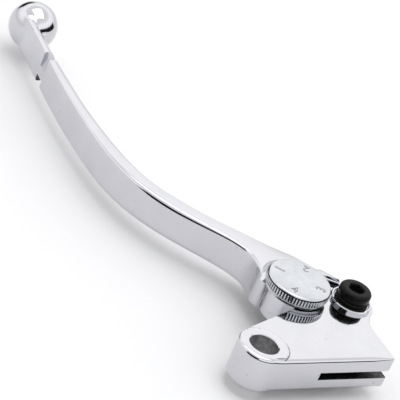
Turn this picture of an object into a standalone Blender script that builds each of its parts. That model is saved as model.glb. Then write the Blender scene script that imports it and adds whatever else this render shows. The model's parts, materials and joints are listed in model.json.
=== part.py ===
"""Motorcycle clutch lever with a numbered reach dial.

All sizes are in millimetres in the constants and functions, and become metres when a
mesh is made. Origin: the pivot bore's axis, at the top of the carrier's plate. +Z runs
up along the bore, +X points from the bore to the ball end, and +Y points to the rider.
"""

from math import acos, atan2, cos, degrees, hypot, pi, radians, sin, sqrt

import bmesh
import bpy
from mathutils import Matrix, Vector

MM = 0.001

# Carrier: the inner lever that pulls the cable.
PLATE_TOP = 0.0
PLATE_THICK = 12.6
BOSS_R = 8.6
BOSS_RISE = 0.3
BOSS_DROP = 0.8
BORE_R = 5.0
CARRIER_REACH = 48.2
NECK_ANGLE = 28.0
NECK_MEET_ANGLE = 154.0

# Cable slot and nipple pocket.
SLOT_TOP = -5.2
SLOT_HIGH = 3.0
SLOT_START = 20.0
SLOT_DEPTH = 10.5
NIPPLE_R = 4.1
NIPPLE_X = -0.4
NIPPLE_Y = -26.0
NIPPLE_ROOF = -2.6

# Hinge between blade and carrier.
HINGE = Vector((20.9, -47.0))
SHANK_R = 4.0
SHOULDER = 1.0
HEAD_LEDGE = 1.75
EYE_WALL = 1.4
RING_SET_IN = 1.04
RING_WALL = 1.06
RING_RISE = 1.25
COUNTERBORE_DEPTH = 0.5
COLLAR_GAP = 0.35
COLLAR_RIDGES = 2
HEAD_TOP = 6.0
HEAD_THICK = 3.2
HEAD_EDGE = 1.1
HEX_FLATS = 5.0
HEX_DEPTH = 2.4
BUSH_WALL = 1.0
WASHER_THICK = 0.8
NUT_FLATS = 10.0
NUT_THICK = 3.2
THREAD_PROUD = 0.6
SPRING_ROOM = 2.4
SPRING_GAP = 0.5
SPRING_WIRE_R = 0.3
SPRING_TURNS = 2
SPRING_LEG = 1.4

# Fork: the cheeks of the carrier and the tongue of the blade between them.
CHEEK_THICK = 2.6
TONGUE_THICK = 4.4
TONGUE_WALL = 0.5
NOSE_WALL = 1.2

# Dial, its spindle and the spiral cam.
DIAL = Vector((27.0, -27.4))
BARREL_R = 9.0
BARREL_HIGH = 9.8
RELIEF_R = 13.5
DIAL_R = 11.39
DIAL_TOP = 5.1
DIAL_GAP = 0.3
DIAL_CHAMFER = 0.5
BAND_BOTTOM = 2.0
SKIRT_R = 10.7
JOURNAL_R = 6.55
SPIGOT_R = 4.4
TAIL_R = 4.0
CAM_R = 6.2
PIN_R = 2.0
DIAL_TURN = 270.0
BLADE_TURN = 6.6
CLIP_THICK = 0.6
CLIP_R = 5.4
TAIL_WASHER_R = 6.4
TAIL_WASHER_THICK = 0.5
TAIL_END = 0.9
CAM_FLOOR = 0.2
O_RING_R = 0.45
O_RING_DEPTH = 1.6
SPIGOT_DEPTH = 2.0

# Detent under the dial.
DETENT_CIRCLE = 8.9
DETENT_ANGLE = 190.0
DETENT_BALL_R = 1.3
DETENT_RISE = 0.8
DETENT_POCKET = 5.5
GROOVE_WIDE = 3.0
GROOVE_DEEP = 0.8
POSITIONS = 4
DIMPLE_R = 1.0
DIMPLE_DEEP = 0.4
DETENT_WIRE_R = 0.2
DETENT_TURNS = 5

# Blade.
BLADE_TOP = 2.0
BLADE_HIGH = 12.6
BALL = Vector((189.7, 0.0, -4.15))
BALL_R = 9.36
CREASE_R = 0.6
NOTCH_X = 159.8
NOTCH_WIDE = 5.2
NOTCH_DEEP = 5.8
UNDER_NOTCH_DEEP = 3.0
SOCKET_GAP = 0.4
DIAL_SOCKET_GAP = 1.3

# Fits.
RUN = 0.1
SEAT = 0.3
SIDE = 0.2
PRESS = 0.12

# Points of the rider face in plan, from the root to the ball.
FACE_LINE = [
    (55.0, -12.4), (62.5, -5.2), (70.0, 1.0), (79.0, 6.4), (90.0, 10.3), (105.0, 12.4),
    (125.0, 12.4), (145.0, 11.1), (165.0, 8.9), (188.0, 6.6),
]
# Thickness of the blade and depth of its rounded far side at those points.
FACE_THICK = [9.0, 9.2, 9.1, 8.9, 9.0, 8.9, 7.8, 6.9, 5.7, 4.9]
FAR_ROUND = [2.0, 2.2, 2.6, 3.2, 3.8, 4.6, 5.0, 4.9, 4.4, 3.8]

# Root of the blade in plan, anticlockwise from the rider face.
ROOT_FACE = [
    (61.6, -6.2), (55.0, -12.4), (50.0, -16.0), (44.6, -18.3), (39.0, -18.5), (34.0, -17.2),
    (32.0, -17.4), (31.0, -18.6), (30.0, -21.5),
]
ROOT_BACK = [
    (29.3, -49.0), (31.4, -47.8), (35.8, -43.9), (36.2, -41.8), (42.2, -37.4), (48.0, -30.4),
    (53.2, -25.5), (63.2, -15.7),
]

CHEEK_FLOOR = PLATE_TOP - CHEEK_THICK
PLATE_BOTTOM = PLATE_TOP - PLATE_THICK
TONGUE_TOP = CHEEK_FLOOR - SIDE
TONGUE_BOTTOM = TONGUE_TOP - TONGUE_THICK
LOWER_CHEEK_TOP = TONGUE_BOTTOM - SIDE
BARREL_BOTTOM = PLATE_TOP - BARREL_HIGH
BLADE_BOTTOM = BLADE_TOP - BLADE_HIGH
DIAL_BOTTOM = PLATE_TOP + DIAL_GAP
DETENT = DIAL + DETENT_CIRCLE * Vector((cos(radians(DETENT_ANGLE)), sin(radians(DETENT_ANGLE))))
RATIO = DIAL_TURN / BLADE_TURN
THREAD_R = SHANK_R - SHOULDER
HEAD_R = SHANK_R + HEAD_LEDGE
BUSH_R = SHANK_R + RUN + BUSH_WALL
SPRING_R = BUSH_R + SPRING_GAP + SPRING_WIRE_R
EYE_POCKET_R = SPRING_R + SPRING_WIRE_R + SEAT
TONGUE_EYE_R = EYE_POCKET_R + TONGUE_WALL
EYE_R = TONGUE_EYE_R + EYE_WALL
RING_R = EYE_R - RING_SET_IN
COUNTERBORE_R = RING_R - RING_WALL


def pin_centre():
    """Where the cam pin stands at rest: it moves along the line from the dial at mid travel."""
    apart = HINGE - DIAL
    lift = CAM_R + PIN_R
    mid = lift - 0.5 * radians(BLADE_TURN) * sqrt(apart.length ** 2 - lift ** 2)
    angle = atan2(apart.y, apart.x) + acos(mid / apart.length)
    return DIAL + lift * Vector((cos(angle), sin(angle)))


PIN = pin_centre()


# ---------------------------------------------------------------- plan geometry

def arc(centre, radius, start, end, steps):
    """Points on a circle from start to end, in degrees."""
    turn = (end - start) / steps
    return [
        (centre[0] + radius * cos(radians(start + turn * i)),
         centre[1] + radius * sin(radians(start + turn * i)))
        for i in range(steps + 1)
    ]


def circle(centre, radius, steps):
    return arc(centre, radius, 0.0, 360.0, steps)[:-1]


def grown(outline, gap):
    """The outline moved outwards by gap, each corner along its own mitre."""
    result = []
    count = len(outline)
    for i in range(count):
        here = Vector(outline[i])
        before = (here - Vector(outline[i - 1])).normalized()
        after = (Vector(outline[(i + 1) % count]) - here).normalized()
        out = Vector((before.y + after.y, -before.x - after.x))
        out.normalize()
        stretch = max(0.5, out.dot(Vector((before.y, -before.x))))
        result.append(tuple(here + out * (gap / stretch)))
    return result


def turned_about(outline, centre, angle):
    """The outline turned anticlockwise about centre, in degrees."""
    c = cos(radians(angle))
    s = sin(radians(angle))
    return [
        (centre[0] + c * (x - centre[0]) - s * (y - centre[1]),
         centre[1] + s * (x - centre[0]) + c * (y - centre[1]))
        for x, y in outline
    ]


def smooth_line(points, steps):
    """A Catmull-Rom curve through the points, steps pieces between neighbours."""
    rows = [Vector(p) for p in points]
    rows = [2 * rows[0] - rows[1]] + rows + [2 * rows[-1] - rows[-2]]
    result = []
    for i in range(1, len(rows) - 2):
        a, b, c, d = rows[i - 1:i + 3]
        for k in range(steps):
            t = k / steps
            result.append(0.5 * (2 * b + (c - a) * t + (2 * a - 5 * b + 4 * c - d) * t * t
                                 + (3 * b - a - 3 * c + d) * t ** 3))
    result.append(rows[-2])
    return result


def carrier_outline():
    """Plate: lug end, hinge eye, barrel under the dial, neck, boss and the straight inboard face."""
    across = degrees(atan2(DIAL.y - HINGE.y, DIAL.x - HINGE.x)) - 90.0
    lean = degrees(atan2(BARREL_R - EYE_R, (DIAL - HINGE).length))
    side = across + lean
    points = [(-BOSS_R, -CARRIER_REACH), (HINGE.x - EYE_R - 5.5, -CARRIER_REACH)]
    points.append((HINGE.x - EYE_R - 2.4, -CARRIER_REACH - 0.8))
    points += arc(HINGE, EYE_R, 212.0, 360.0 + side, 22)
    points += arc(DIAL, BARREL_R, side, NECK_MEET_ANGLE, 26)
    points += arc((0.0, 0.0), BOSS_R, NECK_ANGLE, 180.0, 26)
    return points


def tongue_outline(inner_r):
    """Tongue of the blade; inner_r is the radius of its concave edge about the dial."""
    points = arc(HINGE, TONGUE_EYE_R, 95.0, 325.0, 32)
    points += [(32.4, -46.0), (37.0, -41.5), (42.0, -36.0), (42.5, -31.0)]
    points += arc(DIAL, inner_r, -12.0, -75.0, 12)
    return points


def nose_outline(inner_r):
    """Boss around the cam pin, from the blade's body to inner_r from the dial's axis."""
    angle = degrees(atan2(PIN.y - DIAL.y, PIN.x - DIAL.x))
    out = Vector((cos(radians(angle)), sin(radians(angle))))
    across = Vector((-out.y, out.x))
    half = PIN_R + NOSE_WALL
    near = degrees(atan2(half, inner_r))
    points = arc(DIAL, hypot(inner_r, half), angle + near, angle - near, 8)
    far = DIAL + out * (BARREL_R + 4.5)
    return [tuple(far + across * half)] + points + [tuple(far - across * half)]


def cam_outline():
    """Spiral cam: the pin's path seen from the turning dial, set in by the pin's radius."""
    steps = 54
    points = []
    for i in range(steps + 1):
        turn = DIAL_TURN * i / steps
        x, y = turned_about([PIN], HINGE, turn / RATIO)[0]
        reach = hypot(x - DIAL.x, y - DIAL.y) - PIN_R - RUN
        angle = atan2(y - DIAL.y, x - DIAL.x) - radians(turn)
        points.append((reach, angle))
    low, low_angle = points[-1]
    high, high_angle = points[0]
    rest = 2 * pi - (high_angle - low_angle)
    for i in range(1, 14):
        t = i / 14
        rise = min(1.0, max(0.0, (t - 0.36) / 0.36))
        reach = low + (high - low) * 0.5 * (1.0 - cos(pi * rise))
        points.append((reach, low_angle - rest * t))
    points.reverse()
    return [(DIAL.x + r * cos(a), DIAL.y + r * sin(a)) for r, a in points]


# ---------------------------------------------------------------- meshes and objects

def clear_scene():
    for obj in list(bpy.data.objects):
        bpy.data.objects.remove(obj, do_unlink=True)


def material(name, colour, roughness, metallic):
    made = bpy.data.materials.new(name)
    made.use_nodes = True
    shader = made.node_tree.nodes["Principled BSDF"]
    shader.inputs["Base Color"].default_value = (*colour, 1.0)
    shader.inputs["Roughness"].default_value = roughness
    shader.inputs["Metallic"].default_value = metallic
    made.diffuse_color = (*colour, 1.0)
    return made


def placed(name, bm, made_of, origin=(0.0, 0.0)):
    """Make an object of a mesh in millimetres, with its origin over a point of the plan."""
    mesh = bpy.data.meshes.new(name)
    bmesh.ops.translate(bm, verts=bm.verts, vec=(-origin[0], -origin[1], 0.0))
    bmesh.ops.scale(bm, verts=bm.verts, vec=(MM, MM, MM))
    bmesh.ops.recalc_face_normals(bm, faces=bm.faces)
    bm.to_mesh(mesh)
    bm.free()
    mesh.shade_smooth()
    mesh.set_sharp_from_angle(angle=radians(35.0))
    obj = bpy.data.objects.new(name, mesh)
    obj.location = (origin[0] * MM, origin[1] * MM, 0.0)
    if made_of is not None:
        mesh.materials.append(made_of)
    bpy.context.scene.collection.objects.link(obj)
    return obj


def prism(outline, bottom, top):
    bm = bmesh.new()
    face = bm.faces.new([bm.verts.new((x, y, bottom)) for x, y in outline])
    raised = bmesh.ops.extrude_face_region(bm, geom=[face])["geom"]
    moved = [item for item in raised if isinstance(item, bmesh.types.BMVert)]
    bmesh.ops.translate(bm, verts=moved, vec=(0.0, 0.0, top - bottom))
    return bm


def turned(centre, profile, segments, closed=True):
    """Spin a closed (radius, height) profile about a vertical axis through centre."""
    bm = bmesh.new()
    verts = [bm.verts.new((centre[0] + r, centre[1], z)) for r, z in profile]
    edges = [bm.edges.new((a, b)) for a, b in zip(verts, verts[1:])]
    if closed:
        edges.append(bm.edges.new((verts[-1], verts[0])))
    bmesh.ops.spin(bm, geom=verts + edges, cent=(centre[0], centre[1], 0.0),
                   axis=(0.0, 0.0, 1.0), angle=2 * pi, steps=segments, use_merge=True)
    bmesh.ops.remove_doubles(bm, verts=bm.verts, dist=1e-4)
    return bm


def lofted(rings):
    """Join rings of equal length into a closed skin with flat ends."""
    bm = bmesh.new()
    rows = [[bm.verts.new(p) for p in ring] for ring in rings]
    for a, b in zip(rows, rows[1:]):
        for i in range(len(a)):
            j = (i + 1) % len(a)
            bm.faces.new((a[i], a[j], b[j], b[i]))
    bm.faces.new(rows[0])
    bm.faces.new(rows[-1])
    return bm


def cutter(name, bm):
    obj = placed(name, bm, None)
    obj.hide_render = True
    obj.display_type = "WIRE"
    return obj


def combine(target, tool, operation):
    tool.parent = target
    tool.matrix_parent_inverse = Matrix.Translation(-target.location)
    step = target.modifiers.new(tool.name, "BOOLEAN")
    step.operation = operation
    step.solver = "EXACT"
    step.object = tool


def cut_round(target, name, centre, radius, bottom, top, segments=48):
    combine(target, cutter(name, prism(circle(centre, radius, segments), bottom, top)), "DIFFERENCE")


def cut_shape(target, name, outline, bottom, top):
    combine(target, cutter(name, prism(outline, bottom, top)), "DIFFERENCE")


def add_round(target, name, centre, radius, bottom, top, segments=64):
    combine(target, cutter(name, prism(circle(centre, radius, segments), bottom, top)), "UNION")


def tube(name, points, radius, sides, made_of, origin):
    """A round wire along points, with closed ends."""
    curve = bpy.data.curves.new(name, "CURVE")
    curve.dimensions = "3D"
    curve.bevel_depth = radius * MM
    curve.bevel_resolution = sides
    curve.use_fill_caps = True
    line = curve.splines.new("POLY")
    line.points.add(len(points) - 1)
    for spot, (x, y, z) in zip(line.points, points):
        spot.co = ((x - origin[0]) * MM, (y - origin[1]) * MM, z * MM, 1.0)
    curve.materials.append(made_of)
    obj = bpy.data.objects.new(name, curve)
    obj.location = (origin[0] * MM, origin[1] * MM, 0.0)
    bpy.context.scene.collection.objects.link(obj)
    return obj


# ---------------------------------------------------------------- the pieces

def make_carrier(alloy):
    outline = carrier_outline()
    body = placed("carrier", prism(outline, PLATE_BOTTOM, PLATE_TOP), alloy)
    add_round(body, "boss", (0.0, 0.0), BOSS_R - 0.05, PLATE_BOTTOM - BOSS_DROP, PLATE_TOP + BOSS_RISE)
    add_round(body, "ring", HINGE, RING_R, PLATE_TOP - 1.0, PLATE_TOP + RING_RISE)
    cut_round(body, "pivot_bore", (0.0, 0.0), BORE_R, PLATE_BOTTOM - 5.0, PLATE_TOP + 5.0, 64)
    counterbore_floor = PLATE_TOP - COUNTERBORE_DEPTH
    cut_round(body, "ring_counterbore", HINGE, COUNTERBORE_R, counterbore_floor, PLATE_TOP + 5.0)
    cut_round(body, "shank_hole", HINGE, SHANK_R + RUN, LOWER_CHEEK_TOP - 0.5, PLATE_TOP + 5.0)
    cut_round(body, "thread_hole", HINGE, THREAD_R + RUN, PLATE_BOTTOM - 5.0, LOWER_CHEEK_TOP + 1.0)
    cut_round(body, "journal_bore", DIAL, JOURNAL_R + RUN, LOWER_CHEEK_TOP, PLATE_TOP + 5.0, 64)
    cut_round(body, "barrel_relief", DIAL, RELIEF_R, PLATE_BOTTOM - 5.0, BARREL_BOTTOM, 72)
    cut_round(body, "tail_bore", DIAL, TAIL_R + RUN, PLATE_BOTTOM - 5.0, LOWER_CHEEK_TOP + 1.0)
    pocket_r = DETENT_BALL_R + SIDE
    cut_round(body, "detent_pocket", DETENT, pocket_r, PLATE_TOP - DETENT_POCKET, PLATE_TOP + 5.0, 24)
    for i in range(3):
        turn = BLADE_TURN * i / 2
        room = turned_about(grown(tongue_outline(4.0), SOCKET_GAP), HINGE, turn)
        cut_shape(body, "fork_%d" % i, room, LOWER_CHEEK_TOP, CHEEK_FLOOR)
    open_end = [(HINGE.x - TONGUE_EYE_R - 1.0, HINGE.y), (HINGE.x - TONGUE_EYE_R - 1.0, HINGE.y - 15.0),
                (HINGE.x + 20.0, HINGE.y - 15.0), (HINGE.x + 20.0, HINGE.y)]
    cut_shape(body, "fork_end", open_end, LOWER_CHEEK_TOP, CHEEK_FLOOR)
    slot = [(-BOSS_R - 5.0, -CARRIER_REACH - 5.0), (SLOT_DEPTH - BOSS_R, -CARRIER_REACH - 5.0),
            (SLOT_DEPTH - BOSS_R, -SLOT_START), (-BOSS_R - 5.0, -SLOT_START)]
    cut_shape(body, "cable_slot", slot, SLOT_TOP - SLOT_HIGH, SLOT_TOP)
    cut_round(body, "nipple_pocket", (NIPPLE_X, NIPPLE_Y), NIPPLE_R, PLATE_BOTTOM - 5.0, NIPPLE_ROOF, 40)
    leg_r = SPRING_WIRE_R + SEAT
    leg_end = LOWER_CHEEK_TOP - SPRING_LEG - SEAT
    cut_round(body, "spring_leg_hole", spring_leg(0.0), leg_r, leg_end, LOWER_CHEEK_TOP + 1.0, 20)
    return body


def spring_leg(angle):
    """Plan position of a leg of the hinge spring, angle in degrees from the -X side."""
    at = radians(180.0 + angle)
    return (HINGE.x + SPRING_R * cos(at), HINGE.y + SPRING_R * sin(at))


def blade_section(spot, normal, thick, far):
    """D-shaped section: flat rider face, small edge radii, flat top and bottom, rounded far side."""
    high = 0.5 * BLADE_HIGH
    middle = BLADE_TOP - high
    ring = []
    for corner, start in ((-1.0, 270.0), (1.0, 180.0)):
        for i in range(3):
            at = radians(start - 45.0 * i)
            ring.append((CREASE_R + CREASE_R * cos(at), corner * (high - CREASE_R) + CREASE_R * sin(at)))
    for i in range(13):
        at = radians(90.0 - 15.0 * i)
        ring.append((thick - far + far * cos(at), high * sin(at)))
    return [(spot.x + normal.x * u, spot.y + normal.y * u, middle + z) for u, z in ring]


def blade_rings():
    table = [(x, y, t, f) for (x, y), t, f in zip(FACE_LINE, FACE_THICK, FAR_ROUND)]
    line = smooth_line(table, 4)
    rings = []
    for i, row in enumerate(line):
        ahead = line[min(i + 1, len(line) - 1)]
        behind = line[max(i - 1, 0)]
        along = Vector((ahead[0] - behind[0], ahead[1] - behind[1])).normalized()
        normal = Vector((along.y, -along.x))
        rings.append(blade_section(Vector((row[0], row[1])), normal, row[2], row[3]))
    return rings


def make_blade(alloy):
    blade = placed("blade", lofted(blade_rings()), alloy, HINGE)
    root = ROOT_FACE + [tuple(HINGE + Vector((1.0, 6.0)))] + ROOT_BACK
    combine(blade, cutter("root_block", prism(root, BLADE_BOTTOM, BLADE_TOP)), "UNION")
    ball = bmesh.new()
    bmesh.ops.create_icosphere(ball, subdivisions=4, radius=BALL_R)
    bmesh.ops.translate(ball, verts=ball.verts, vec=BALL)
    combine(blade, cutter("ball_end", ball), "UNION")
    for i in range(3):
        turn = -BLADE_TURN * i / 2
        room = turned_about(grown(carrier_outline(), SOCKET_GAP), HINGE, turn)
        cut_shape(blade, "carrier_room_%d" % i, room, BLADE_BOTTOM - 5.0, BLADE_TOP + 5.0)
        seat = turned_about(circle(DIAL, DIAL_R + DIAL_SOCKET_GAP, 64), HINGE, turn)
        cut_shape(blade, "dial_room_%d" % i, seat, PLATE_TOP - SEAT, BLADE_TOP + 5.0)
    left = NOTCH_X - 0.5 * NOTCH_WIDE
    right = NOTCH_X + 0.5 * NOTCH_WIDE
    notch = [(left, -20.0), (right, -20.0), (right, 30.0), (left, 30.0)]
    cut_shape(blade, "upper_notch", notch, BLADE_TOP - NOTCH_DEEP, BLADE_TOP + 5.0)
    cut_shape(blade, "under_notch", notch, BLADE_BOTTOM - 5.0, BLADE_BOTTOM + UNDER_NOTCH_DEEP)
    tongue = prism(tongue_outline(BARREL_R + 0.6), TONGUE_BOTTOM, TONGUE_TOP)
    combine(blade, cutter("tongue", tongue), "UNION")
    nose = prism(nose_outline(CAM_R + 0.4), TONGUE_BOTTOM + 0.1, TONGUE_TOP - 0.1)
    combine(blade, cutter("nose", nose), "UNION")
    cut_round(blade, "pin_hole", PIN, PIN_R + PRESS, TONGUE_BOTTOM - 1.0, TONGUE_TOP + 1.0, 32)
    cut_round(blade, "bush_hole", HINGE, BUSH_R + PRESS, TONGUE_BOTTOM - 1.0, TONGUE_TOP + 1.0)
    cut_round(blade, "washer_seat", HINGE, TONGUE_EYE_R - 0.8, TONGUE_TOP - WASHER_THICK, TONGUE_TOP + 1.0)
    cut_round(blade, "spring_room", HINGE, EYE_POCKET_R, TONGUE_BOTTOM - 1.0, TONGUE_BOTTOM + SPRING_ROOM)
    sweep = 0.5 * radians(BLADE_TURN) * SPRING_R
    cut_round(blade, "leg_hole", spring_leg(-0.5 * BLADE_TURN), SPRING_WIRE_R + sweep + SIDE,
              TONGUE_BOTTOM + SPRING_ROOM - 0.5, TONGUE_TOP - WASHER_THICK + 0.5, 20)
    return blade


def make_hinge(black, bronze, steel, zinc):
    under_head = HEAD_TOP - HEAD_THICK
    end = PLATE_BOTTOM - SEAT - NUT_THICK - THREAD_PROUD
    edge = HEAD_EDGE
    profile = [(0.0, HEAD_TOP), (HEAD_R - edge, HEAD_TOP)]
    for i in range(1, 4):
        at = radians(90.0 - 30.0 * i)
        profile.append((HEAD_R - edge + edge * cos(at), HEAD_TOP - edge + edge * sin(at)))
    profile += [(HEAD_R, under_head + 0.4), (HEAD_R - 0.4, under_head), (SHANK_R, under_head)]
    profile += [(SHANK_R, LOWER_CHEEK_TOP), (THREAD_R, LOWER_CHEEK_TOP), (THREAD_R, end + 0.5)]
    profile += [(THREAD_R - 0.5, end), (0.0, end)]
    screw = placed("hinge_screw", turned(HINGE, profile, 48, closed=False), black, HINGE)
    hexagon = circle(HINGE, HEX_FLATS / sqrt(3.0), 6)
    cut_shape(screw, "hex_socket", hexagon, HEAD_TOP - HEX_DEPTH, HEAD_TOP + 2.0)

    low = PLATE_TOP - COUNTERBORE_DEPTH + 0.1
    high = under_head - 0.1
    outer = COUNTERBORE_R - COLLAR_GAP
    collar = [(SHANK_R + SIDE, high), (SHANK_R + SIDE, low)]
    pitch = (high - low) / COLLAR_RIDGES
    for i in range(COLLAR_RIDGES):
        base = low + pitch * i
        collar += [(outer - 0.35, base), (outer, base + 0.3 * pitch), (outer, base + 0.65 * pitch)]
        collar += [(outer - 0.35, base + 0.95 * pitch)]
    placed("screw_collar", turned(HINGE, collar, 48), black, HINGE)

    top = TONGUE_TOP - WASHER_THICK
    bush = [(SHANK_R + RUN, top), (SHANK_R + RUN, LOWER_CHEEK_TOP + RUN)]
    bush += [(BUSH_R, LOWER_CHEEK_TOP + RUN), (BUSH_R, top)]
    placed("hinge_bush", turned(HINGE, bush, 48), bronze, HINGE)
    washer = [(SHANK_R + RUN, TONGUE_TOP + 0.1), (SHANK_R + RUN, top + 0.1),
              (TONGUE_EYE_R - 1.0, top + 0.1), (TONGUE_EYE_R - 1.0, TONGUE_TOP + 0.1)]
    placed("thrust_washer", turned(HINGE, washer, 48), steel, HINGE)

    start = TONGUE_BOTTOM + SPRING_WIRE_R + 0.1
    pitch = 2 * SPRING_WIRE_R + 0.15
    points = [(*spring_leg(0.0), LOWER_CHEEK_TOP - SPRING_LEG), (*spring_leg(0.0), start - 0.3)]
    steps = 20 * SPRING_TURNS
    for i in range(1, steps + 1):
        turns = SPRING_TURNS * i / steps
        points.append((*spring_leg(360.0 * turns), start + pitch * turns))
    points.append((*spring_leg(0.0), TONGUE_BOTTOM + SPRING_ROOM + 0.7))
    tube("hinge_spring", points, SPRING_WIRE_R, 1, steel, HINGE)

    nut_top = PLATE_BOTTOM - SEAT
    hexagon = circle(HINGE, NUT_FLATS / sqrt(3.0), 6)
    nut = placed("hinge_nut", prism(hexagon, nut_top - NUT_THICK, nut_top), zinc, HINGE)
    cut_round(nut, "nut_thread", HINGE, THREAD_R + RUN, nut_top - NUT_THICK - 1.0, nut_top + 1.0)


def make_dial(chrome, steel, rubber):
    roof = DIAL_BOTTOM + GROOVE_DEEP
    groove_in = DETENT_CIRCLE - 0.5 * GROOVE_WIDE
    groove_out = DETENT_CIRCLE + 0.5 * GROOVE_WIDE
    spigot_top = DIAL_TOP - SPIGOT_DEPTH
    profile = [(0.0, DIAL_TOP), (DIAL_R - DIAL_CHAMFER, DIAL_TOP), (DIAL_R, DIAL_TOP - DIAL_CHAMFER)]
    profile += [(DIAL_R, BAND_BOTTOM), (DIAL_R - 0.3, BAND_BOTTOM - 0.2), (SKIRT_R, DIAL_BOTTOM)]
    profile += [(groove_out, DIAL_BOTTOM), (groove_out, roof), (groove_in, roof), (groove_in, DIAL_BOTTOM)]
    profile += [(SPIGOT_R + PRESS, DIAL_BOTTOM), (SPIGOT_R + PRESS, spigot_top + RUN)]
    profile.append((0.0, spigot_top + RUN))
    dial = placed("dial", turned(DIAL, profile, 72, closed=False), chrome, DIAL)
    for i in range(POSITIONS):
        at = radians(DETENT_ANGLE - DIAL_TURN / (POSITIONS - 1) * i)
        spot = DIAL + DETENT_CIRCLE * Vector((cos(at), sin(at)))
        cut_round(dial, "dimple_%d" % (i + 1), spot, DIMPLE_R, DIAL_BOTTOM - 1.0, roof + DIMPLE_DEEP, 16)

    middle = PLATE_TOP - O_RING_DEPTH
    groove_top = middle + O_RING_R + RUN + 0.05
    groove_low = middle - O_RING_R - RUN - 0.05
    groove_r = JOURNAL_R - 2 * O_RING_R - 0.05
    floor = CHEEK_FLOOR - CAM_FLOOR
    clip_top = BARREL_BOTTOM - RUN - TAIL_WASHER_THICK - RUN
    tail_end = clip_top - CLIP_THICK - TAIL_END
    shoulder = DIAL_BOTTOM - RUN
    body = [(0.0, spigot_top), (SPIGOT_R, spigot_top), (SPIGOT_R, shoulder), (JOURNAL_R, shoulder)]
    body += [(JOURNAL_R, groove_top), (groove_r, groove_top), (groove_r, groove_low)]
    body += [(JOURNAL_R, groove_low), (JOURNAL_R, floor), (TAIL_R, floor), (TAIL_R, clip_top + 0.1)]
    body += [(TAIL_R - 0.6, clip_top + 0.1), (TAIL_R - 0.6, clip_top - CLIP_THICK - 0.1)]
    body += [(TAIL_R, clip_top - CLIP_THICK - 0.1), (TAIL_R, tail_end + 0.3)]
    body += [(TAIL_R - 0.3, tail_end), (0.0, tail_end)]
    spindle = placed("cam_spindle", turned(DIAL, body, 48, closed=False), steel, DIAL)
    cam = prism(cam_outline(), LOWER_CHEEK_TOP + SIDE, floor + 0.5)
    combine(spindle, cutter("cam", cam), "UNION")

    ring = circle((JOURNAL_R - O_RING_R, middle), O_RING_R, 10)
    placed("spindle_o_ring", turned(DIAL, ring, 48), rubber, DIAL)

    top = BARREL_BOTTOM - RUN
    washer = [(TAIL_R + RUN, top), (TAIL_R + RUN, top - TAIL_WASHER_THICK),
              (TAIL_WASHER_R, top - TAIL_WASHER_THICK), (TAIL_WASHER_R, top)]
    placed("spindle_washer", turned(DIAL, washer, 48), steel, DIAL)
    inner = TAIL_R - 0.45
    opening = 35.0
    clip = arc(DIAL, CLIP_R, opening, 360.0 - opening, 36) + arc(DIAL, inner, 360.0 - opening, opening, 36)
    placed("spindle_circlip", prism(clip, clip_top - CLIP_THICK, clip_top), steel, DIAL)


def make_detent(steel):
    ball = bmesh.new()
    bmesh.ops.create_uvsphere(ball, u_segments=20, v_segments=12, radius=DETENT_BALL_R)
    middle = PLATE_TOP + DETENT_RISE - DETENT_BALL_R
    bmesh.ops.translate(ball, verts=ball.verts, vec=(DETENT.x, DETENT.y, middle))
    placed("detent_ball", ball, steel, DETENT)
    ends = DETENT_WIRE_R + 0.5 * RUN
    low = PLATE_TOP - DETENT_POCKET + ends
    high = middle - DETENT_BALL_R - ends
    coil_r = DETENT_BALL_R + SIDE - DETENT_WIRE_R - 0.35
    steps = 14 * DETENT_TURNS
    turn = 2 * pi / 14
    pitch = (high - low) / steps
    points = [
        (DETENT.x + coil_r * cos(turn * i), DETENT.y + coil_r * sin(turn * i), low + pitch * i)
        for i in range(steps + 1)
    ]
    tube("detent_spring", points, DETENT_WIRE_R, 1, steel, DETENT)


def make_pin(steel):
    edge = 0.3
    top = TONGUE_TOP - 0.1
    low = TONGUE_BOTTOM + 0.1
    profile = [(0.0, top), (PIN_R - edge, top), (PIN_R, top - edge)]
    profile += [(PIN_R, low + edge), (PIN_R - edge, low), (0.0, low)]
    placed("cam_pin", turned(PIN, profile, 32, closed=False), steel, PIN)


def main():
    clear_scene()
    alloy = material("polished_aluminium", (0.86, 0.86, 0.88), 0.08, 1.0)
    chrome = material("satin_chrome", (0.80, 0.81, 0.84), 0.16, 1.0)
    black = material("blackened_steel", (0.02, 0.02, 0.022), 0.32, 0.6)
    steel = material("steel", (0.55, 0.55, 0.57), 0.25, 1.0)
    zinc = material("zinc_plate", (0.66, 0.66, 0.64), 0.3, 1.0)
    bronze = material("bronze", (0.55, 0.36, 0.16), 0.35, 1.0)
    rubber = material("nitrile_rubber", (0.02, 0.02, 0.02), 0.6, 0.0)
    make_carrier(alloy)
    make_blade(alloy)
    make_hinge(black, bronze, steel, zinc)
    make_dial(chrome, steel, rubber)
    make_detent(steel)
    make_pin(steel)


main()
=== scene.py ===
"""Finish of a motorcycle clutch lever: polished blade and carrier, numbered dial, black hinge screw.

Plan outlines and heights are written in millimetres and become metres when a mesh is made.
The origin is the pivot bore's axis at the top of the carrier's plate; +X points to the ball end.
"""

import json
from math import atan2, cos, degrees, exp, hypot, pi, radians, sin, sqrt

import bpy
from mathutils import Matrix, Vector


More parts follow.
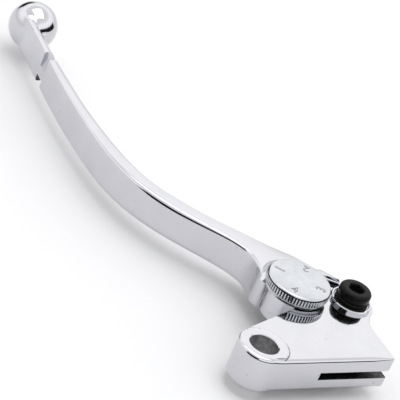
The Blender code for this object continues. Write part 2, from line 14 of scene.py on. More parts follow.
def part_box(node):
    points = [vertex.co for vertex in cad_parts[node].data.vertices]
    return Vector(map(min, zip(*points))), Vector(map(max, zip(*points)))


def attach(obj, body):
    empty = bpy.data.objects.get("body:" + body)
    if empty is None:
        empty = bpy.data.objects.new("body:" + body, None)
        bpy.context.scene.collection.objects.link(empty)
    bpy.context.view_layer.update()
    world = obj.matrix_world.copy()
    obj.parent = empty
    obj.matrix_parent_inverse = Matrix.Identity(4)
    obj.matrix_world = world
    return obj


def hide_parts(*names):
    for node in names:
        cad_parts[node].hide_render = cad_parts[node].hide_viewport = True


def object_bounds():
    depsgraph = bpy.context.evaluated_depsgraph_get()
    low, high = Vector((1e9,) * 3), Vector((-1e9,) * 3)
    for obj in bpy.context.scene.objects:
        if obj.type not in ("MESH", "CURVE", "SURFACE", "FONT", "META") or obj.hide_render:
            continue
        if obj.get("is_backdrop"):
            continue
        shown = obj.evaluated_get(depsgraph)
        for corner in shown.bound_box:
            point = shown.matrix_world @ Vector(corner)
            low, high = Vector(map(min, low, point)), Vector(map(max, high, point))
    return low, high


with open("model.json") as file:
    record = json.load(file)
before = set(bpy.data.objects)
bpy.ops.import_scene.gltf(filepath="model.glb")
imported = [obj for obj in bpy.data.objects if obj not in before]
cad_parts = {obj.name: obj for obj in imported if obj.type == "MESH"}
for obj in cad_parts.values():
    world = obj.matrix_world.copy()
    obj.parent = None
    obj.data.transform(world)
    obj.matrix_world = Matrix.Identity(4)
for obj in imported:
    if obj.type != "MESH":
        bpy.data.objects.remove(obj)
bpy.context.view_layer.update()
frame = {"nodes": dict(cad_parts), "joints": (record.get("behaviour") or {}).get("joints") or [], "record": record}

bl_info = {
    "name": "Clutch lever",
    "version": (1, 0, 0),
    "blender": (4, 5, 0),
    "location": "3D View > Sidebar > Clutch lever",
    "description": "Models and finishes the pieces of a motorcycle clutch lever",
    "category": "Object",
}

MM = 0.001
JOINTS = {joint["name"]: joint for joint in frame["joints"]}
MOUNTS = {mount["name"]: mount for mount in frame["record"]["mounts"]}


def plan_of(metres):
    """A plan position of the record, in millimetres."""
    return Vector((metres[0] / MM, metres[1] / MM))


def span_of(node):
    """(lowest, highest) height of a CAD node, in millimetres."""
    low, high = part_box(node)
    return low.z / MM, high.z / MM


HINGE = plan_of(JOINTS["blade_reach"]["pos_m"])
DIAL = plan_of(JOINTS["dial_turn"]["pos_m"])
BLADE_TURN = JOINTS["blade_reach"]["range_deg"][1]
BOSS_TOP = MOUNTS["boss_top"]["pos_m"][2] / MM
BOSS_BOTTOM = MOUNTS["boss_bottom"]["pos_m"][2] / MM
RING_TOP = span_of("carrier")[1]
DIAL_BOTTOM, DIAL_TOP = span_of("dial")
HEAD_TOP = span_of("hinge_screw")[1]
SCREW_END = span_of("hinge_screw")[0]
COLLAR_BOTTOM, COLLAR_TOP = span_of("screw_collar")
NUT_BOTTOM, NUT_TOP = span_of("hinge_nut")
PIVOT = (0.0, 0.0)
TONGUE_EYE_R = 7.0
PLATE_BOTTOM = -12.6
BLADE_TOP = 2.0
BLADE_BOTTOM = -10.6
BARREL_BOTTOM = -9.8
CHEEK_FLOOR = -2.6
TONGUE_TOP = -2.8
TONGUE_BOTTOM = -7.2
LOWER_CHEEK_TOP = -7.4
NOTCH_X = 159.8
BALL_Z = -4.15
BALL_X = 189.7

# Tools run past the faces they cut; those that cut right through start well outside the lever.
PAST = 1.0
CLEAR = 5.0
OUTSIDE = -20.0
MERGE = 1e-6


def centre_of(node):
    """Plan centre of a CAD node, in millimetres."""
    low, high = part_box(node)
    return Vector(((low.x + high.x) / 2 / MM, (low.y + high.y) / 2 / MM))


# ---------------------------------------------------------------- settings

class CarrierSizes(bpy.types.PropertyGroup):
    """Sizes of the inner lever that pulls the cable."""

    boss_radius: bpy.props.FloatProperty(
        name="Boss radius", description="Radius of the pivot boss", default=0.0086, unit="LENGTH")
    bore_radius: bpy.props.FloatProperty(
        name="Bore radius", description="Radius of the pivot bore", default=0.005, unit="LENGTH")
    ring_radius: bpy.props.FloatProperty(
        name="Ring radius", description="Radius of the raised ring at the hinge",
        default=0.00736, unit="LENGTH")
    top_round: bpy.props.FloatProperty(
        name="Inboard round", description="Bevel along the inboard top edge", default=0.0015, unit="LENGTH")
    edge_round: bpy.props.FloatProperty(
        name="Edge round", description="Bevel of the other top edges", default=0.00065, unit="LENGTH")


class BladeSizes(bpy.types.PropertyGroup):
    """Sizes of the finger lever."""

    crease_round: bpy.props.FloatProperty(
        name="Crease round", description="Radius of the rider face's edges", default=0.0009, unit="LENGTH")
    ball_radius: bpy.props.FloatProperty(
        name="Ball radius", description="Radius of the ball end", default=0.00934, unit="LENGTH")
    notch_width: bpy.props.FloatProperty(
        name="Notch width", description="Width of the breakaway notches", default=0.0052, unit="LENGTH")
    notch_depth: bpy.props.FloatProperty(
        name="Notch depth", description="Depth of the upper breakaway notch", default=0.0058, unit="LENGTH")


class DialSizes(bpy.types.PropertyGroup):
    """Sizes of the reach dial."""

    radius: bpy.props.FloatProperty(
        name="Radius", description="Radius over the knurl", default=0.01137, unit="LENGTH")
    teeth: bpy.props.IntProperty(
        name="Teeth", description="Grooves in the knurled band", default=66, min=24, max=120)
    groove_depth: bpy.props.FloatProperty(
        name="Groove depth", description="Depth of the knurl", default=0.0005, unit="LENGTH")
    numeral_height: bpy.props.FloatProperty(
        name="Numeral height", description="Height of the numbers", default=0.0036, unit="LENGTH")
    numeral_circle: bpy.props.FloatProperty(
        name="Numeral circle", description="Radius of the circle of numbers", default=0.0078, unit="LENGTH")


class FinishSettings(bpy.types.PropertyGroup):
    """Colours of the metals."""

    aluminium: bpy.props.FloatVectorProperty(
        name="Aluminium", description="Reflected colour of the polished alloy",
        default=(0.61, 0.612, 0.642), subtype="COLOR", min=0.0, max=1.0)
    chrome: bpy.props.FloatVectorProperty(
        name="Satin chrome", description="Reflected colour of the dial",
        default=(0.57, 0.585, 0.61), subtype="COLOR", min=0.0, max=1.0)
    black: bpy.props.FloatVectorProperty(
        name="Black", description="Colour of the blackened steel",
        default=(0.006, 0.006, 0.0065), subtype="COLOR", min=0.0, max=1.0)


class StageSettings(bpy.types.PropertyGroup):
    """Floor and light."""

    floor_tone: bpy.props.FloatVectorProperty(
        name="Floor", description="Colour of the floor",
        default=(0.84, 0.84, 0.85), subtype="COLOR", min=0.0, max=1.0)
    sky_strength: bpy.props.FloatProperty(
        name="Sky strength", description="Brightness of the studio's ceiling", default=1.2, min=0.0)
    key_power: bpy.props.FloatProperty(
        name="Key power", description="Power of the overhead soft light", default=5.0, unit="POWER")


class LeverSettings(bpy.types.PropertyGroup):
    """All settings of the lever."""

    carrier: bpy.props.PointerProperty(type=CarrierSizes)
    blade: bpy.props.PointerProperty(type=BladeSizes)
    dial: bpy.props.PointerProperty(type=DialSizes)
    finish: bpy.props.PointerProperty(type=FinishSettings)
    stage: bpy.props.PointerProperty(type=StageSettings)


def settings():
    return bpy.context.scene.clutch_lever


# ---------------------------------------------------------------- plan geometry, in millimetres

def arc(centre, radius, start, end, steps):
    """Points on a circle from start to end, in degrees."""
    turn = (end - start) / steps
    return [
        (centre[0] + radius * cos(radians(start + turn * i)),
         centre[1] + radius * sin(radians(start + turn * i)))
        for i in range(steps + 1)
    ]


def circle(centre, radius, steps):
    return arc(centre, radius, 0.0, 360.0, steps)[:-1]


def grown(outline, gap):
    """The outline moved outwards along its mitres, by one gap or by one per corner."""
    result = []
    count = len(outline)
    gaps = gap if isinstance(gap, list) else [gap] * count
    for i in range(count):
        here = Vector(outline[i])
        before = (here - Vector(outline[i - 1])).normalized()
        after = (Vector(outline[(i + 1) % count]) - here).normalized()
        out = Vector((before.y + after.y, -before.x - after.x))
        out.normalize()
        stretch = max(0.5, out.dot(Vector((before.y, -before.x))))
        result.append(tuple(here + out * (gaps[i] / stretch)))
    return result


def turned_about(outline, centre, angle):
    """The outline turned anticlockwise about centre, in degrees."""
    c = cos(radians(angle))
    s = sin(radians(angle))
    return [
        (centre[0] + c * (x - centre[0]) - s * (y - centre[1]),
         centre[1] + s * (x - centre[0]) + c * (y - centre[1]))
        for x, y in outline
    ]


def smooth_line(points, steps):
    """A Catmull-Rom curve through the points, steps pieces between neighbours."""
    rows = [Vector(p) for p in points]
    rows = [2 * rows[0] - rows[1]] + rows + [2 * rows[-1] - rows[-2]]
    result = []
    for i in range(1, len(rows) - 2):
        a, b, c, d = rows[i - 1:i + 3]
        for k in range(steps):
            t = k / steps
            result.append(0.5 * (2 * b + (c - a) * t + (2 * a - 5 * b + 4 * c - d) * t * t
                                 + (3 * b - a - 3 * c + d) * t ** 3))
    result.append(rows[-2])
    return result


BARREL_R = 9.0
EYE_R = 8.4
LUG_END = -48.2
NECK_ANGLE = 28.0
NECK_MEET_ANGLE = 154.0


def carrier_outline(boss_r, fine=1):
    """Plate: lug end, hinge eye, barrel under the dial, neck, boss and the straight inboard face."""
    across = degrees(atan2(DIAL.y - HINGE.y, DIAL.x - HINGE.x)) - 90.0
    side = across + degrees(atan2(BARREL_R - EYE_R, (DIAL - HINGE).length))
    points = [(-boss_r, LUG_END), (HINGE.x - EYE_R - 5.5, LUG_END)]
    points.append((HINGE.x - EYE_R - 2.4, LUG_END - 0.8))
    points += arc(HINGE, EYE_R, 212.0, 360.0 + side, 22 * fine)
    points += arc(DIAL, BARREL_R, side, NECK_MEET_ANGLE, 26 * fine)
    points += arc(PIVOT, boss_r, NECK_ANGLE, 180.0, 26 * fine)
    return points


def tongue_outline(inner_r):
    """Tongue of the blade; inner_r is the radius of its concave edge about the dial."""
    points = arc(HINGE, TONGUE_EYE_R, 95.0, 325.0, 32)
    points += [(32.4, -46.0), (37.0, -41.5), (42.0, -36.0), (42.5, -31.0)]
    points += arc(DIAL, inner_r, -12.0, -75.0, 12)
    return points


# ---------------------------------------------------------------- modelling

def select_only(piece):
    bpy.ops.object.select_all(action="DESELECT")
    piece.select_set(True)
    bpy.context.view_layer.objects.active = piece


def started(name, count, filled):
    """A ring of count points, ready to be set on an outline or a profile."""
    bpy.ops.object.select_all(action="DESELECT")
    fill = "NGON" if filled else "NOTHING"
    bpy.ops.mesh.primitive_circle_add(vertices=count, radius=MM, fill_type=fill)
    piece = bpy.context.object
    piece.name = name
    return piece


def extruded(piece, run):
    """Draw the piece's one face out along run, in metres, into a solid."""
    bpy.ops.object.mode_set(mode="EDIT")
    bpy.ops.mesh.select_all(action="SELECT")
    bpy.ops.mesh.extrude_region_move(TRANSFORM_OT_translate={"value": run})
    bpy.ops.mesh.select_all(action="SELECT")
    bpy.ops.mesh.normals_make_consistent(inside=False)
    bpy.ops.object.mode_set(mode="OBJECT")
    return piece


def plate(name, outline, bottom, top):
    """A flat plate: the outline, filled and extruded upwards."""
    piece = started(name, len(outline), True)
    for vert, (x, y) in zip(piece.data.vertices, outline):
        vert.co = (x * MM, y * MM, bottom * MM)
    return extruded(piece, (0.0, 0.0, (top - bottom) * MM))


def side_plate(name, profile, x_low, x_high):
    """A plate standing across X, from a (y, z) profile."""
    piece = started(name, len(profile), True)
    for vert, (y, z) in zip(piece.data.vertices, profile):
        vert.co = (x_low * MM, y * MM, z * MM)
    return extruded(piece, ((x_high - x_low) * MM, 0.0, 0.0))


def turned(name, centre, profile, segments):
    """A closed (radius, height) profile spun about a vertical axis."""
    piece = started(name, len(profile), False)
    for vert, (r, z) in zip(piece.data.vertices, profile):
        vert.co = ((centre[0] + r) * MM, centre[1] * MM, z * MM)
    bpy.ops.object.mode_set(mode="EDIT")
    bpy.ops.mesh.select_all(action="SELECT")
    middle = (centre[0] * MM, centre[1] * MM, 0.0)
    bpy.ops.mesh.spin(steps=segments, angle=2 * pi, center=middle, axis=(0.0, 0.0, 1.0))
    bpy.ops.mesh.select_all(action="SELECT")
    bpy.ops.mesh.remove_doubles(threshold=MERGE)
    bpy.ops.mesh.delete_loose(use_verts=True, use_edges=True, use_faces=False)
    bpy.ops.mesh.select_all(action="SELECT")
    bpy.ops.mesh.normals_make_consistent(inside=False)
    bpy.ops.object.mode_set(mode="OBJECT")
    return piece


def skin(name, rings):
    """A grid wrapped round equal rings of points, closed at its seam and both ends."""
    across = len(rings[0])
    along = len(rings) - 1
    bpy.ops.object.select_all(action="DESELECT")
    bpy.ops.mesh.primitive_grid_add(x_subdivisions=across, y_subdivisions=along, size=2.0)
    piece = bpy.context.object
    piece.name = name
    for vert in piece.data.vertices:
        i = round((vert.co.x + 1.0) * 0.5 * across)
        j = round((vert.co.y + 1.0) * 0.5 * along)
        x, y, z = rings[j][i % across]
        vert.co = (x * MM, y * MM, z * MM)
    bpy.ops.object.mode_set(mode="EDIT")
    bpy.ops.mesh.select_all(action="SELECT")
    bpy.ops.mesh.remove_doubles(threshold=MERGE)
    bpy.ops.mesh.select_all(action="DESELECT")
    bpy.ops.mesh.select_mode(type="EDGE")
    bpy.ops.mesh.select_non_manifold()
    bpy.ops.mesh.edge_face_add()
    bpy.ops.mesh.select_all(action="SELECT")
    bpy.ops.mesh.normals_make_consistent(inside=False)
    bpy.ops.object.mode_set(mode="OBJECT")
    return piece


def apply_boolean(piece, tool, operation):
    select_only(piece)
    bpy.ops.object.modifier_add(type="BOOLEAN")
    step = piece.modifiers[-1]
    step.operation = operation
    step.solver = "MANIFOLD"
    step.object = tool
    bpy.ops.object.modifier_apply(modifier=step.name)
    bpy.data.objects.remove(tool, do_unlink=True)


def cut(piece, tool):
    apply_boolean(piece, tool, "DIFFERENCE")


def join(piece, tool):
    apply_boolean(piece, tool, "UNION")


def drill(piece, centre, radius, bottom, top, segments=96):
    """A plain round hole between two heights."""
    profile = [(0.0, bottom), (radius, bottom), (radius, top), (0.0, top)]
    cut(piece, turned("drill_tool", centre, profile, segments))


def countersink(piece, centre, radius, bottom, top, lip, segments=96):
    """A bore down from the face at height top, with a chamfered lip."""
    profile = [(0.0, bottom), (radius, bottom), (radius, top - lip), (radius + lip, top)]
    profile += [(radius + lip + PAST, top + PAST), (0.0, top + PAST)]
    cut(piece, turned("bore_tool", centre, profile, segments))


def soften(piece, width, segments, angle):
    """A small bevel on every edge sharper than angle, in degrees."""
    select_only(piece)
    bpy.ops.object.modifier_add(type="BEVEL")
    step = piece.modifiers[-1]
    step.width = width * MM
    step.segments = segments
    step.limit_method = "ANGLE"
    step.angle_limit = radians(angle)
    step.use_clamp_overlap = True
    bpy.ops.object.modifier_apply(modifier=step.name)


def smooth(piece, angle=32.0):
    select_only(piece)
    bpy.ops.object.shade_smooth_by_angle(angle=radians(angle), keep_sharp_edges=False)


def finished(piece, body, slot, *nodes):
    """The piece rides on its body and stands for its CAD nodes."""
    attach(piece, body)
    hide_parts(*nodes)


def refined_copy(node, edge):
    """A merged copy of a CAD node's mesh with small rounds on its edges, in millimetres."""
    source = frame["nodes"][node]
    piece = bpy.data.objects.new(node + "_finish", source.data.copy())
    bpy.context.scene.collection.objects.link(piece)
    select_only(piece)
    bpy.ops.object.mode_set(mode="EDIT")
    bpy.ops.mesh.select_all(action="SELECT")
    bpy.ops.mesh.remove_doubles(threshold=MERGE)
    bpy.ops.mesh.dissolve_limited(angle_limit=radians(1.0))
    bpy.ops.object.mode_set(mode="OBJECT")
    if edge > 0.0:
        soften(piece, edge, 2, 40.0)
    smooth(piece, 35.0)
    return piece


# ---------------------------------------------------------------- materials

class Wiring:
    """The nodes of a material or of the sky, and the links between them."""

    def __init__(self, tree):
        self.nodes = tree.nodes
        self.links = tree.links

    def span(self, value, low, high, first=0.0, last=1.0):
        """The value stretched from low..high to first..last, and held within them."""
        ramp = self.nodes.new("ShaderNodeMapRange")
        ramp.inputs["From Min"].default_value = low
        ramp.inputs["From Max"].default_value = high
        ramp.inputs["To Min"].default_value = first
        ramp.inputs["To Max"].default_value = last
        self.links.new(value, ramp.inputs["Value"])
        return ramp.outputs["Result"]

    def product(self, a, b):
        maths = self.nodes.new("ShaderNodeMath")
        maths.operation = "MULTIPLY"
        self.links.new(a, maths.inputs[0])
        self.links.new(b, maths.inputs[1])
        return maths.outputs["Value"]

    def mixed(self, factor, first, last):
        """A colour between first and last; each is a colour or a socket."""
        mix = self.nodes.new("ShaderNodeMix")
        mix.data_type = "RGBA"
        self.links.new(factor, mix.inputs["Factor"])
        sockets = [s for s in mix.inputs if s.type == "RGBA"]
        for colour, socket in zip((first, last), sockets):
            if isinstance(colour, tuple):
                socket.default_value = (*colour, 1.0)
            else:
                self.links.new(colour, socket)
        return next(s for s in mix.outputs if s.type == "RGBA")


class Recipe(Wiring):
    """Builds one procedural material on Object coordinates."""

    def __init__(self, name, colour, metallic, roughness):
        self.material = bpy.data.materials.new(name)
        self.material.use_nodes = True
        super().__init__(self.material.node_tree)
        self.shader = self.nodes["Principled BSDF"]
        self.shader.inputs["Base Color"].default_value = (*colour, 1.0)
        self.shader.inputs["Metallic"].default_value = metallic
        self.shader.inputs["Roughness"].default_value = roughness
        self.material.diffuse_color = (*colour, 1.0)
        self.place = self.nodes.new("ShaderNodeTexCoord")

    def stretched(self, scale):
        mapping = self.nodes.new("ShaderNodeMapping")
        mapping.inputs["Scale"].default_value = scale
        self.links.new(self.place.outputs["Object"], mapping.inputs["Vector"])
        return mapping.outputs["Vector"]

    def noise(self, scale, detail=3.0, vector=None):
        texture = self.nodes.new("ShaderNodeTexNoise")
        texture.inputs["Scale"].default_value = scale
        texture.inputs["Detail"].default_value = detail
        self.links.new(vector or self.place.outputs["Object"], texture.inputs["Vector"])
        return texture.outputs["Fac"]

    def specks(self, scale, size):
        """1 inside small round specks, 0 elsewhere."""
        texture = self.nodes.new("ShaderNodeTexVoronoi")
        texture.inputs["Scale"].default_value = scale
        self.links.new(self.place.outputs["Object"], texture.inputs["Vector"])
        return self.span(texture.outputs["Distance"], size, size * 0.4)

    def colour(self, socket):
        self.links.new(socket, self.shader.inputs["Base Color"])

    def roughness(self, socket):
        self.links.new(socket, self.shader.inputs["Roughness"])

    def bumped(self, height, strength, distance):
        bump = self.nodes.new("ShaderNodeBump")
        bump.inputs["Strength"].default_value = strength
        bump.inputs["Distance"].default_value = distance
        self.links.new(height, bump.inputs["Height"])
        previous = self.shader.inputs["Normal"]
        if previous.is_linked:
            self.links.new(previous.links[0].from_socket, bump.inputs["Normal"])
        self.links.new(bump.outputs["Normal"], previous)


def shade(colour, factor):
    return tuple(min(1.0, part * factor) for part in colour)


def polished_aluminium():
    base = tuple(settings().finish.aluminium)
    mix = Recipe("polished_aluminium", base, 1.0, 0.07)
    clouds = mix.noise(90.0, 4.0)
    pits = mix.product(mix.specks(420.0, 0.14), mix.span(mix.noise(160.0, 2.0), 0.53, 0.6))
    cloudy = mix.mixed(mix.span(clouds, 0.35, 0.65), shade(base, 0.975), shade(base, 1.02))
    mix.colour(mix.mixed(mix.span(pits, 0.0, 1.0, 0.0, 0.7), cloudy, shade(base, 0.4)))
    mix.roughness(mix.span(mix.noise(700.0, 5.0), 0.3, 0.7, 0.05, 0.11))
    mix.bumped(mix.noise(260.0, 3.0), 0.05, 0.0004)
    scratches = mix.noise(1.0, 6.0, mix.stretched((180.0, 2600.0, 2600.0)))
    mix.bumped(scratches, 0.04, 0.00008)
    return mix.material


def bored_aluminium():
    """Darker, rougher walls of holes and slots that a polishing wheel doesn't reach; on the boss's faced rim its
    darker tone also serves as painted shade.
    """
    mix = Recipe("bored_aluminium", (0.2, 0.2, 0.21), 1.0, 0.42)
    blotches = mix.span(mix.noise(520.0, 5.0), 0.3, 0.7)
    mix.colour(mix.mixed(blotches, (0.34, 0.34, 0.35), (0.78, 0.78, 0.79)))
    mix.roughness(mix.span(mix.noise(900.0, 3.0), 0.3, 0.7, 0.32, 0.55))
    rings = mix.noise(1.0, 3.0, mix.stretched((300.0, 300.0, 5000.0)))
    mix.bumped(rings, 0.25, 0.0001)
    return mix.material


def satin_chrome():
    base = tuple(settings().finish.chrome)
    mix = Recipe("satin_chrome", base, 1.0, 0.2)
    clouds = mix.span(mix.noise(330.0, 4.0), 0.3, 0.7)
    mix.colour(mix.mixed(clouds, shade(base, 0.95), shade(base, 1.05)))
    mix.roughness(mix.span(mix.noise(1300.0, 3.0), 0.3, 0.7, 0.12, 0.24))
    mix.bumped(mix.noise(2200.0, 2.0), 0.08, 0.0001)
    return mix.material


def engraved_chrome():
    """Dull floor of the engraved numbers."""
    mix = Recipe("engraved_chrome", (0.3, 0.31, 0.33), 1.0, 0.5)
    mix.roughness(mix.span(mix.noise(2600.0, 2.0), 0.3, 0.7, 0.42, 0.6))
    return mix.material


def painted_recess_shade():
    """Painted shade in the slots, the lower notch and the grooves of the knurl: a dark colour standing in for the
    shade and dark reflections there.
    """
    mix = Recipe("painted_recess_shade", (0.05, 0.05, 0.055), 1.0, 0.45)
    blotches = mix.span(mix.noise(900.0, 4.0), 0.3, 0.7)
    mix.colour(mix.mixed(blotches, (0.02, 0.02, 0.022), (0.12, 0.12, 0.125)))
    return mix.material


def blackened_steel():
    base = tuple(settings().finish.black)
    mix = Recipe("blackened_steel", base, 0.0, 0.26)
    mix.shader.inputs["Specular IOR Level"].default_value = 0.085
    grain = mix.span(mix.noise(1500.0, 4.0), 0.3, 0.7)
    mix.colour(mix.mixed(grain, shade(base, 0.7), shade(base, 1.8)))
    mix.roughness(mix.span(mix.noise(800.0, 4.0), 0.3, 0.7, 0.16, 0.32))
    mix.bumped(mix.noise(1900.0, 3.0), 0.2, 0.0001)
    return mix.material


def turned_steel(name, base, roughness):
    """Bare or plated steel with fine tool marks."""
    mix = Recipe(name, base, 1.0, roughness)
    clouds = mix.span(mix.noise(400.0, 4.0), 0.3, 0.7)
    mix.colour(mix.mixed(clouds, shade(base, 0.88), shade(base, 1.08)))
    mix.roughness(mix.span(mix.noise(1100.0, 3.0), 0.3, 0.7, roughness * 0.8, roughness * 1.3))
    marks = mix.noise(1.0, 2.0, mix.stretched((500.0, 500.0, 9000.0)))
    mix.bumped(marks, 0.1, 0.00008)
    return mix.material


def nitrile_rubber():
    mix = Recipe("nitrile_rubber", (0.018, 0.018, 0.018), 0.0, 0.6)
    mix.roughness(mix.span(mix.noise(1500.0, 3.0), 0.3, 0.7, 0.5, 0.7))
    mix.bumped(mix.noise(2500.0, 2.0), 0.15, 0.0001)
    return mix.material


PAINT = {}


def paint(piece, *names):
    """Give the piece its materials by name, made once each."""
    makers = {
        "polished_aluminium": polished_aluminium,
        "bored_aluminium": bored_aluminium,
        "satin_chrome": satin_chrome,
        "engraved_chrome": engraved_chrome,
        "painted_recess_shade": painted_recess_shade,
        "blackened_steel": blackened_steel,
        "steel": lambda: turned_steel("steel", (0.5, 0.5, 0.52), 0.25),
        "zinc_plate": lambda: turned_steel("zinc_plate", (0.62, 0.62, 0.6), 0.3),
        "bronze": lambda: turned_steel("bronze", (0.5, 0.32, 0.15), 0.35),
        "nitrile_rubber": nitrile_rubber,
    }
    piece.data.materials.clear()
    for name in names:
        if name not in PAINT:
            PAINT[name] = makers[name]()
        piece.data.materials.append(PAINT[name])


def paint_faces(piece, index, chosen):
    """Give the index of a material to the faces whose centre, in millimetres, and normal suit chosen."""
    for face in piece.data.polygons:
        if chosen(face.center / MM, face.normal):
            face.material_index = index


# ---------------------------------------------------------------- carrier

SLOT_TOP = -5.2
SLOT_BOTTOM = -8.2
SLOT_START = -20.0
SLOT_FLOOR_X = 1.9
NIPPLE = (-0.4, -26.0)
NIPPLE_R = 4.1
NIPPLE_ROOF = -2.6
RELIEF_R = 13.5
JOURNAL_R = 6.65
SPINDLE_HOLE_R = 4.1
COUNTERBORE_R = 6.3
COUNTERBORE_FLOOR = -0.5
SHOULDER_HOLE_R = 4.1
THREAD_HOLE_R = 3.1
RING_CHAMFER = 0.3
BORE_LIP = 0.25
JOURNAL_LIP = 0.2
BOSS_GAP = 0.06
BOSS_LINE = 0.3
RIM = 0.4
LUG_CORNER = 1.6
HEEL_CORNER = 3.0
PUNCH_MARK = Vector((-8.75, -44.0, -10.4))
PUNCH_MARK_R = 0.45
CORNER = 0.6
LUG_EDGE = 0.5


def finish_outline(boss_r):
    """The carrier's outline with a rounded lug corner and a divided inboard edge."""
    points = carrier_outline(boss_r, 3)[1:]
    last = LUG_END + CORNER
    points += [(-boss_r, last * i / 24) for i in range(1, 24)]
    return points + arc((CORNER - boss_r, last), CORNER, 180.0, 270.0, 5)


def edge_rounds(outline, boss_r, inboard, other):
    """Edge radius at each corner: large on the boss and inboard edge, small at the lug end."""
    rounds = []
    for x, y in outline:
        if x < CORNER - boss_r and y < 0.0:
            rounds.append(min(inboard, LUG_EDGE + 0.12 * max(0.0, y - LUG_END - CORNER)))
        elif y < LUG_END + CORNER and x < HINGE.x - EYE_R - 3.0:
            rounds.append(LUG_EDGE)
        elif y > -0.5 and hypot(x, y) < boss_r + 0.1:
            turn = (degrees(atan2(y, x)) - 80.0) / 40.0
            rounds.append(other + (inboard - other) * min(1.0, max(0.0, turn)))
        else:
            rounds.append(other)
    return rounds


def edge_ring(outline, rounds, heights, side, turn):
    """One ring of a rounded edge; turn runs from 0 on the wall to 90 on the flat."""
    inset = [-r * (1.0 - cos(radians(turn))) for r in rounds]
    lift = [h - side * r * (1.0 - sin(radians(turn))) for h, r in zip(heights, rounds)]
    return [(x, y, z) for (x, y), z in zip(grown(outline, inset), lift)]


def carrier_body(sizes):
    """The plate with its rounded outline, cut down to leave the boss standing proud."""
    boss_r = sizes.boss_radius / MM
    outline = finish_outline(boss_r)
    proud = [1.0 if hypot(x, y) < boss_r + 0.05 and y > -0.5 else 0.0 for x, y in outline]
    top = [BOSS_TOP * part for part in proud]
    bottom = [PLATE_BOTTOM + (BOSS_BOTTOM - PLATE_BOTTOM) * part for part in proud]
    upper = edge_rounds(outline, boss_r, sizes.top_round / MM, sizes.edge_round / MM)
    lower = [min(1.6, 2.4 * r) for r in upper]
    rings = [edge_ring(outline, lower, [BOSS_BOTTOM] * len(outline), -1.0, 90.0)]
    rings += [edge_ring(outline, lower, bottom, -1.0, turn) for turn in (90.0, 67.5, 45.0, 22.5, 0.0)]
    rings += [edge_ring(outline, upper, top, 1.0, 15.0 * i) for i in range(7)]
    rings.append(edge_ring(outline, upper, [BOSS_TOP] * len(outline), 1.0, 90.0))
    piece = skin("carrier_finish", rings)
    near = boss_r + BOSS_GAP
    for bottom, top in ((0.0, CLEAR), (OUTSIDE, PLATE_BOTTOM)):
        waste = plate("waste_tool", circle((20.0, -25.0), 70.0, 48), bottom, top)
        cut(waste, plate("boss_tool", circle(PIVOT, near, 144), bottom - PAST, top + PAST))
        cut(piece, waste)
    # A shallow groove at the foot of the boss; its faces are later painted with the dark shade material, as
    # painted shade for the thin dark line there.
    line = [(near, -0.2), (near + BOSS_LINE - 0.04, -0.2), (near + BOSS_LINE, PAST), (near, PAST)]
    cut(piece, turned("line_tool", PIVOT, line, 144))
    # A faced rim on the boss; its face is later painted in the darker bored finish, which also stands in as
    # painted shade for the thin dark line at the boss's edge.
    step = BOSS_TOP - 0.1
    rim = [(near - RIM, step), (near + 0.01, step), (near + 0.01, PAST), (near - RIM, PAST)]
    cut(piece, turned("rim_tool", PIVOT, rim, 144))
    return piece


def carrier_holes(piece, sizes):
    """The raised ring and the bores of the hinge, the pivot and the dial."""
    ring_r = sizes.ring_radius / MM
    ring = [(0.0, -1.5), (ring_r, -1.5), (ring_r, RING_TOP - RING_CHAMFER)]
    ring += [(ring_r - RING_CHAMFER, RING_TOP), (0.0, RING_TOP)]
    join(piece, turned("ring_tool", HINGE, ring, 96))
    countersink(piece, HINGE, COUNTERBORE_R, COUNTERBORE_FLOOR, RING_TOP, BORE_LIP)
    drill(piece, HINGE, SHOULDER_HOLE_R, LOWER_CHEEK_TOP - 0.5, COUNTERBORE_FLOOR + PAST)
    drill(piece, HINGE, THREAD_HOLE_R, OUTSIDE, LOWER_CHEEK_TOP + PAST)
    countersink(piece, PIVOT, sizes.bore_radius / MM, OUTSIDE, BOSS_TOP, BORE_LIP, 128)
    countersink(piece, DIAL, JOURNAL_R, LOWER_CHEEK_TOP, 0.0, JOURNAL_LIP)
    drill(piece, DIAL, RELIEF_R, OUTSIDE, BARREL_BOTTOM)
    drill(piece, DIAL, SPINDLE_HOLE_R, OUTSIDE, LOWER_CHEEK_TOP + 1.5)


def carrier_fork(piece):
    """Slot between the cheeks, swept by the tongue over its travel."""
    for i in range(3):
        room = turned_about(grown(tongue_outline(4.0), 0.4), HINGE, BLADE_TURN * i / 2)
        cut(piece, plate("fork_tool", room, LOWER_CHEEK_TOP, CHEEK_FLOOR))
    left = HINGE.x - TONGUE_EYE_R - 1.0
    right = HINGE.x + 20.0
    front = HINGE.y - 15.0
    end = [(left, HINGE.y), (left, front), (right, front), (right, HINGE.y)]
    cut(piece, plate("fork_tool", end, LOWER_CHEEK_TOP, CHEEK_FLOOR))


def quarter_round(y, z, radius, steps):
    """Profile points from a level face at height z down to an upright face at y."""
    points = []
    for i in range(1, steps + 1):
        at = radians(90.0 * i / steps)
        points.append((y + radius - radius * sin(at), z + radius - radius * cos(at)))
    return points


